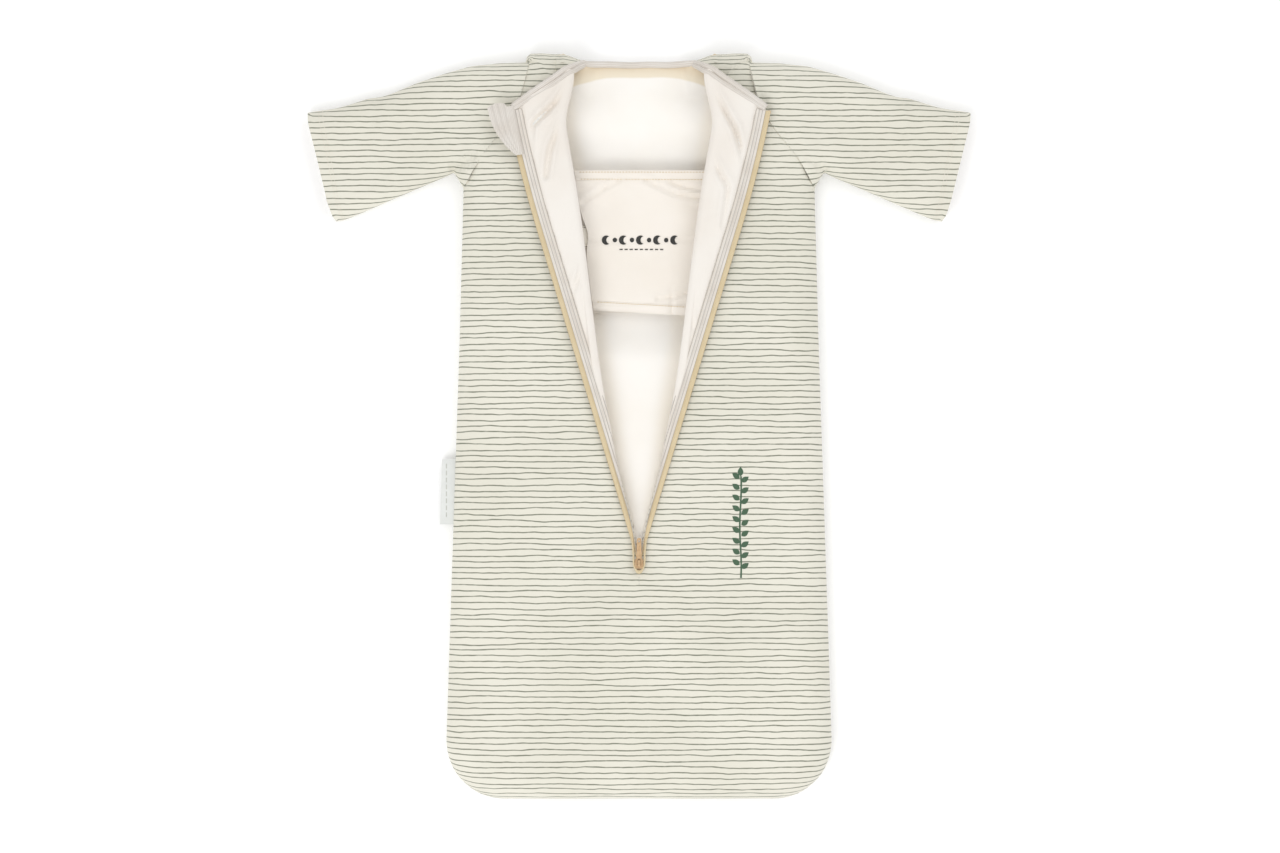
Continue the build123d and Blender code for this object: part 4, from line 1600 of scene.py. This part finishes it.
CARE_LABEL_OUTLINE = [(-58, 169), (-43.5, 169), (-42.5, 173), (-42.5, 187), (-44, 190), (-58, 190)]
CARE_LABEL_BORDER = [(-57, 170.5, 17.9), (-44.3, 170.5, 17.3), (-43.7, 174, 17.3), (-43.7, 186, 17.3),
                     (-45, 188.6, 17.3), (-57, 188.6, 17.9)]


def make_care_label():
    """A small folded label at the end of the wrap, with a dark stitched border and no print."""
    flat, faces = plan_mesh(CARE_LABEL_OUTLINE, 4.0)
    verts = np.column_stack([flat, 17.6 - 0.05 * (flat[:, 0] + 58)])
    label = cloth_layer("care_label_ribbon", verts, faces, CARE_LABEL, flat, 0.0, 0.8)
    mount(label, "bag", "label", "care_label")
    declare_sheet((16, 21), mesh_area(verts, faces), ["wrap_under_cloth"])
    edge = stitches("care_label_border", [resample(CARE_LABEL_BORDER, 0.8)], DARK_INK, 1.9, 1.5, 0.3)
    mount(edge, "bag", "label")


def front_surface(points, lift=0.16):
    """Plan points put just above the front's printed cloth."""
    points = np.asarray(points, float)
    return np.column_stack([points, top_z(points) + lift])


def leaf(base, angle, length, width):
    """A pointed oval leaf."""
    run = np.array([cos(angle), sin(angle)])
    side = np.array([-run[1], run[0]])
    shares = np.linspace(0, 1, 8)
    left = [base + run * length * s + side * width / 2 * sin(pi * s**0.85) for s in shares]
    right = [base + run * length * s - side * width / 2 * sin(pi * s**0.85) for s in shares[-2:0:-1]]
    return [tuple(p) for p in [*left, *right]][::-1]


SPRIG_X = 95.8
SPRIG_LOW, SPRIG_HIGH = -143.0, -47.0
LEAF_PITCH = 10.2
LEAF_TURN = 0.62


def make_front_mark():
    """A plain leafy sprig printed in green, standing along the right of the front."""
    stem = [(SPRIG_X + 0.7 * sin(y / 12), y) for y in np.linspace(SPRIG_LOW, SPRIG_HIGH, 16)]
    shapes = [[*[(x + 0.8, y) for x, y in stem], *[(x - 0.8, y) for x, y in reversed(stem)]]]
    for i in range(9):
        y = SPRIG_LOW + 9 + i * LEAF_PITCH
        shapes.append(leaf(np.array([SPRIG_X + 0.8, y]), LEAF_TURN, 8.6, 5.2))
        shapes.append(leaf(np.array([SPRIG_X - 0.8, y + 3.4]), pi - LEAF_TURN, 8.6, 5.2))
    shapes.append(leaf(np.array([SPRIG_X, SPRIG_HIGH]), pi / 2, 9.0, 5.4))
    mark = printed_shapes("front_mark", shapes, front_surface, GREEN_INK)
    mount(mark, "bag", "printed_jersey")


def make_seam_stitches():
    """Top stitching by the armholes, and the short bar under the foot of the zip."""
    lines = [resample(ARMHOLE_SEAM, 3.0) * (side, 1) - (2.2 * side, 0) for side in (-1, 1)]
    lines.append([(0.0, y) for y in np.linspace(ZIP_FOOT_Y - 22, ZIP_FOOT_Y - 6, 8)])
    paths = [front_surface(line, 0.1) for line in lines]
    seam = stitches("seam_stitches", paths, GREY_THREAD, 3.0, 2.0, 0.22)
    mount(seam, "bag", "printed_jersey")


make_side_label()
make_care_label()
make_front_mark()
make_seam_stitches()


# ---- CAD pieces that stay ----


for NODE in ("zip_slider_body", "zip_slider_bail", "zip_pull", "zip_bottom_stop"):
    NODE_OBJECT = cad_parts[NODE]
    if not NODE_OBJECT.material_slots:
        NODE_OBJECT.data.materials.append(METAL)
    for SLOT in NODE_OBJECT.material_slots:
        SLOT.material = METAL


# ---- stage ----


FLOOR_HALF = 4000
FLOOR_DROP = 0.2
SKY_STRENGTH = 0.84
# Name, place, size and power of each lamp, in metres and watts, and the place they all point at
LAMPS = (("key", (-1.0, -1.7, 2.5), 1.8, 26.0), ("fill", (1.6, 1.4, 2.6), 2.2, 12.0))
LAMP_AIM = Vector((0, 0.05, 0))


def make_floor():
    corners = [(x * FLOOR_HALF, y * FLOOR_HALF, 0) for x, y in ((-1, -1), (1, -1), (1, 1), (-1, 1))]
    floor = add_object("floor", corners, [(0, 1, 2, 3)], floor_paint(), smooth=False)
    floor.location.z = -FLOOR_DROP * MM


def make_light():
    world = bpy.data.worlds.new("studio")
    world.use_nodes = True
    background = world.node_tree.nodes["Background"]
    background.inputs["Color"].default_value = (1, 1, 1, 1)
    background.inputs["Strength"].default_value = SKY_STRENGTH
    bpy.context.scene.world = world
    for name, place, size, power in LAMPS:
        light = bpy.data.lights.new(name, "AREA")
        light.shape = "DISK"
        light.size = size
        light.energy = power
        lamp = bpy.data.objects.new(name, light)
        lamp.location = place
        lamp.rotation_euler = (LAMP_AIM - Vector(place)).to_track_quat("-Z", "Y").to_euler()
        bpy.context.scene.collection.objects.link(lamp)
    bpy.context.scene.view_settings.view_transform = "Standard"


# In metres, with the lens and its sensor in millimetres
CAMERA_HEIGHT = 4.5
VIEW_WIDTH = 1.2096
SENSOR_WIDTH = 36.0


def make_camera():
    """Straight down from above, with a long lens. VIEW_WIDTH is what it sees at the bag's front."""
    data = bpy.data.cameras.new("camera")
    data.sensor_width = SENSOR_WIDTH
    data.lens = SENSOR_WIDTH * (CAMERA_HEIGHT - 0.03) / VIEW_WIDTH
    data.clip_end = 50.0
    camera = bpy.data.objects.new("camera", data)
    camera.location = (0.0009, 0.0, CAMERA_HEIGHT)
    bpy.context.scene.collection.objects.link(camera)
    bpy.context.scene.camera = camera


make_floor()
make_light()
make_camera()


bpy.context.view_layer.update()
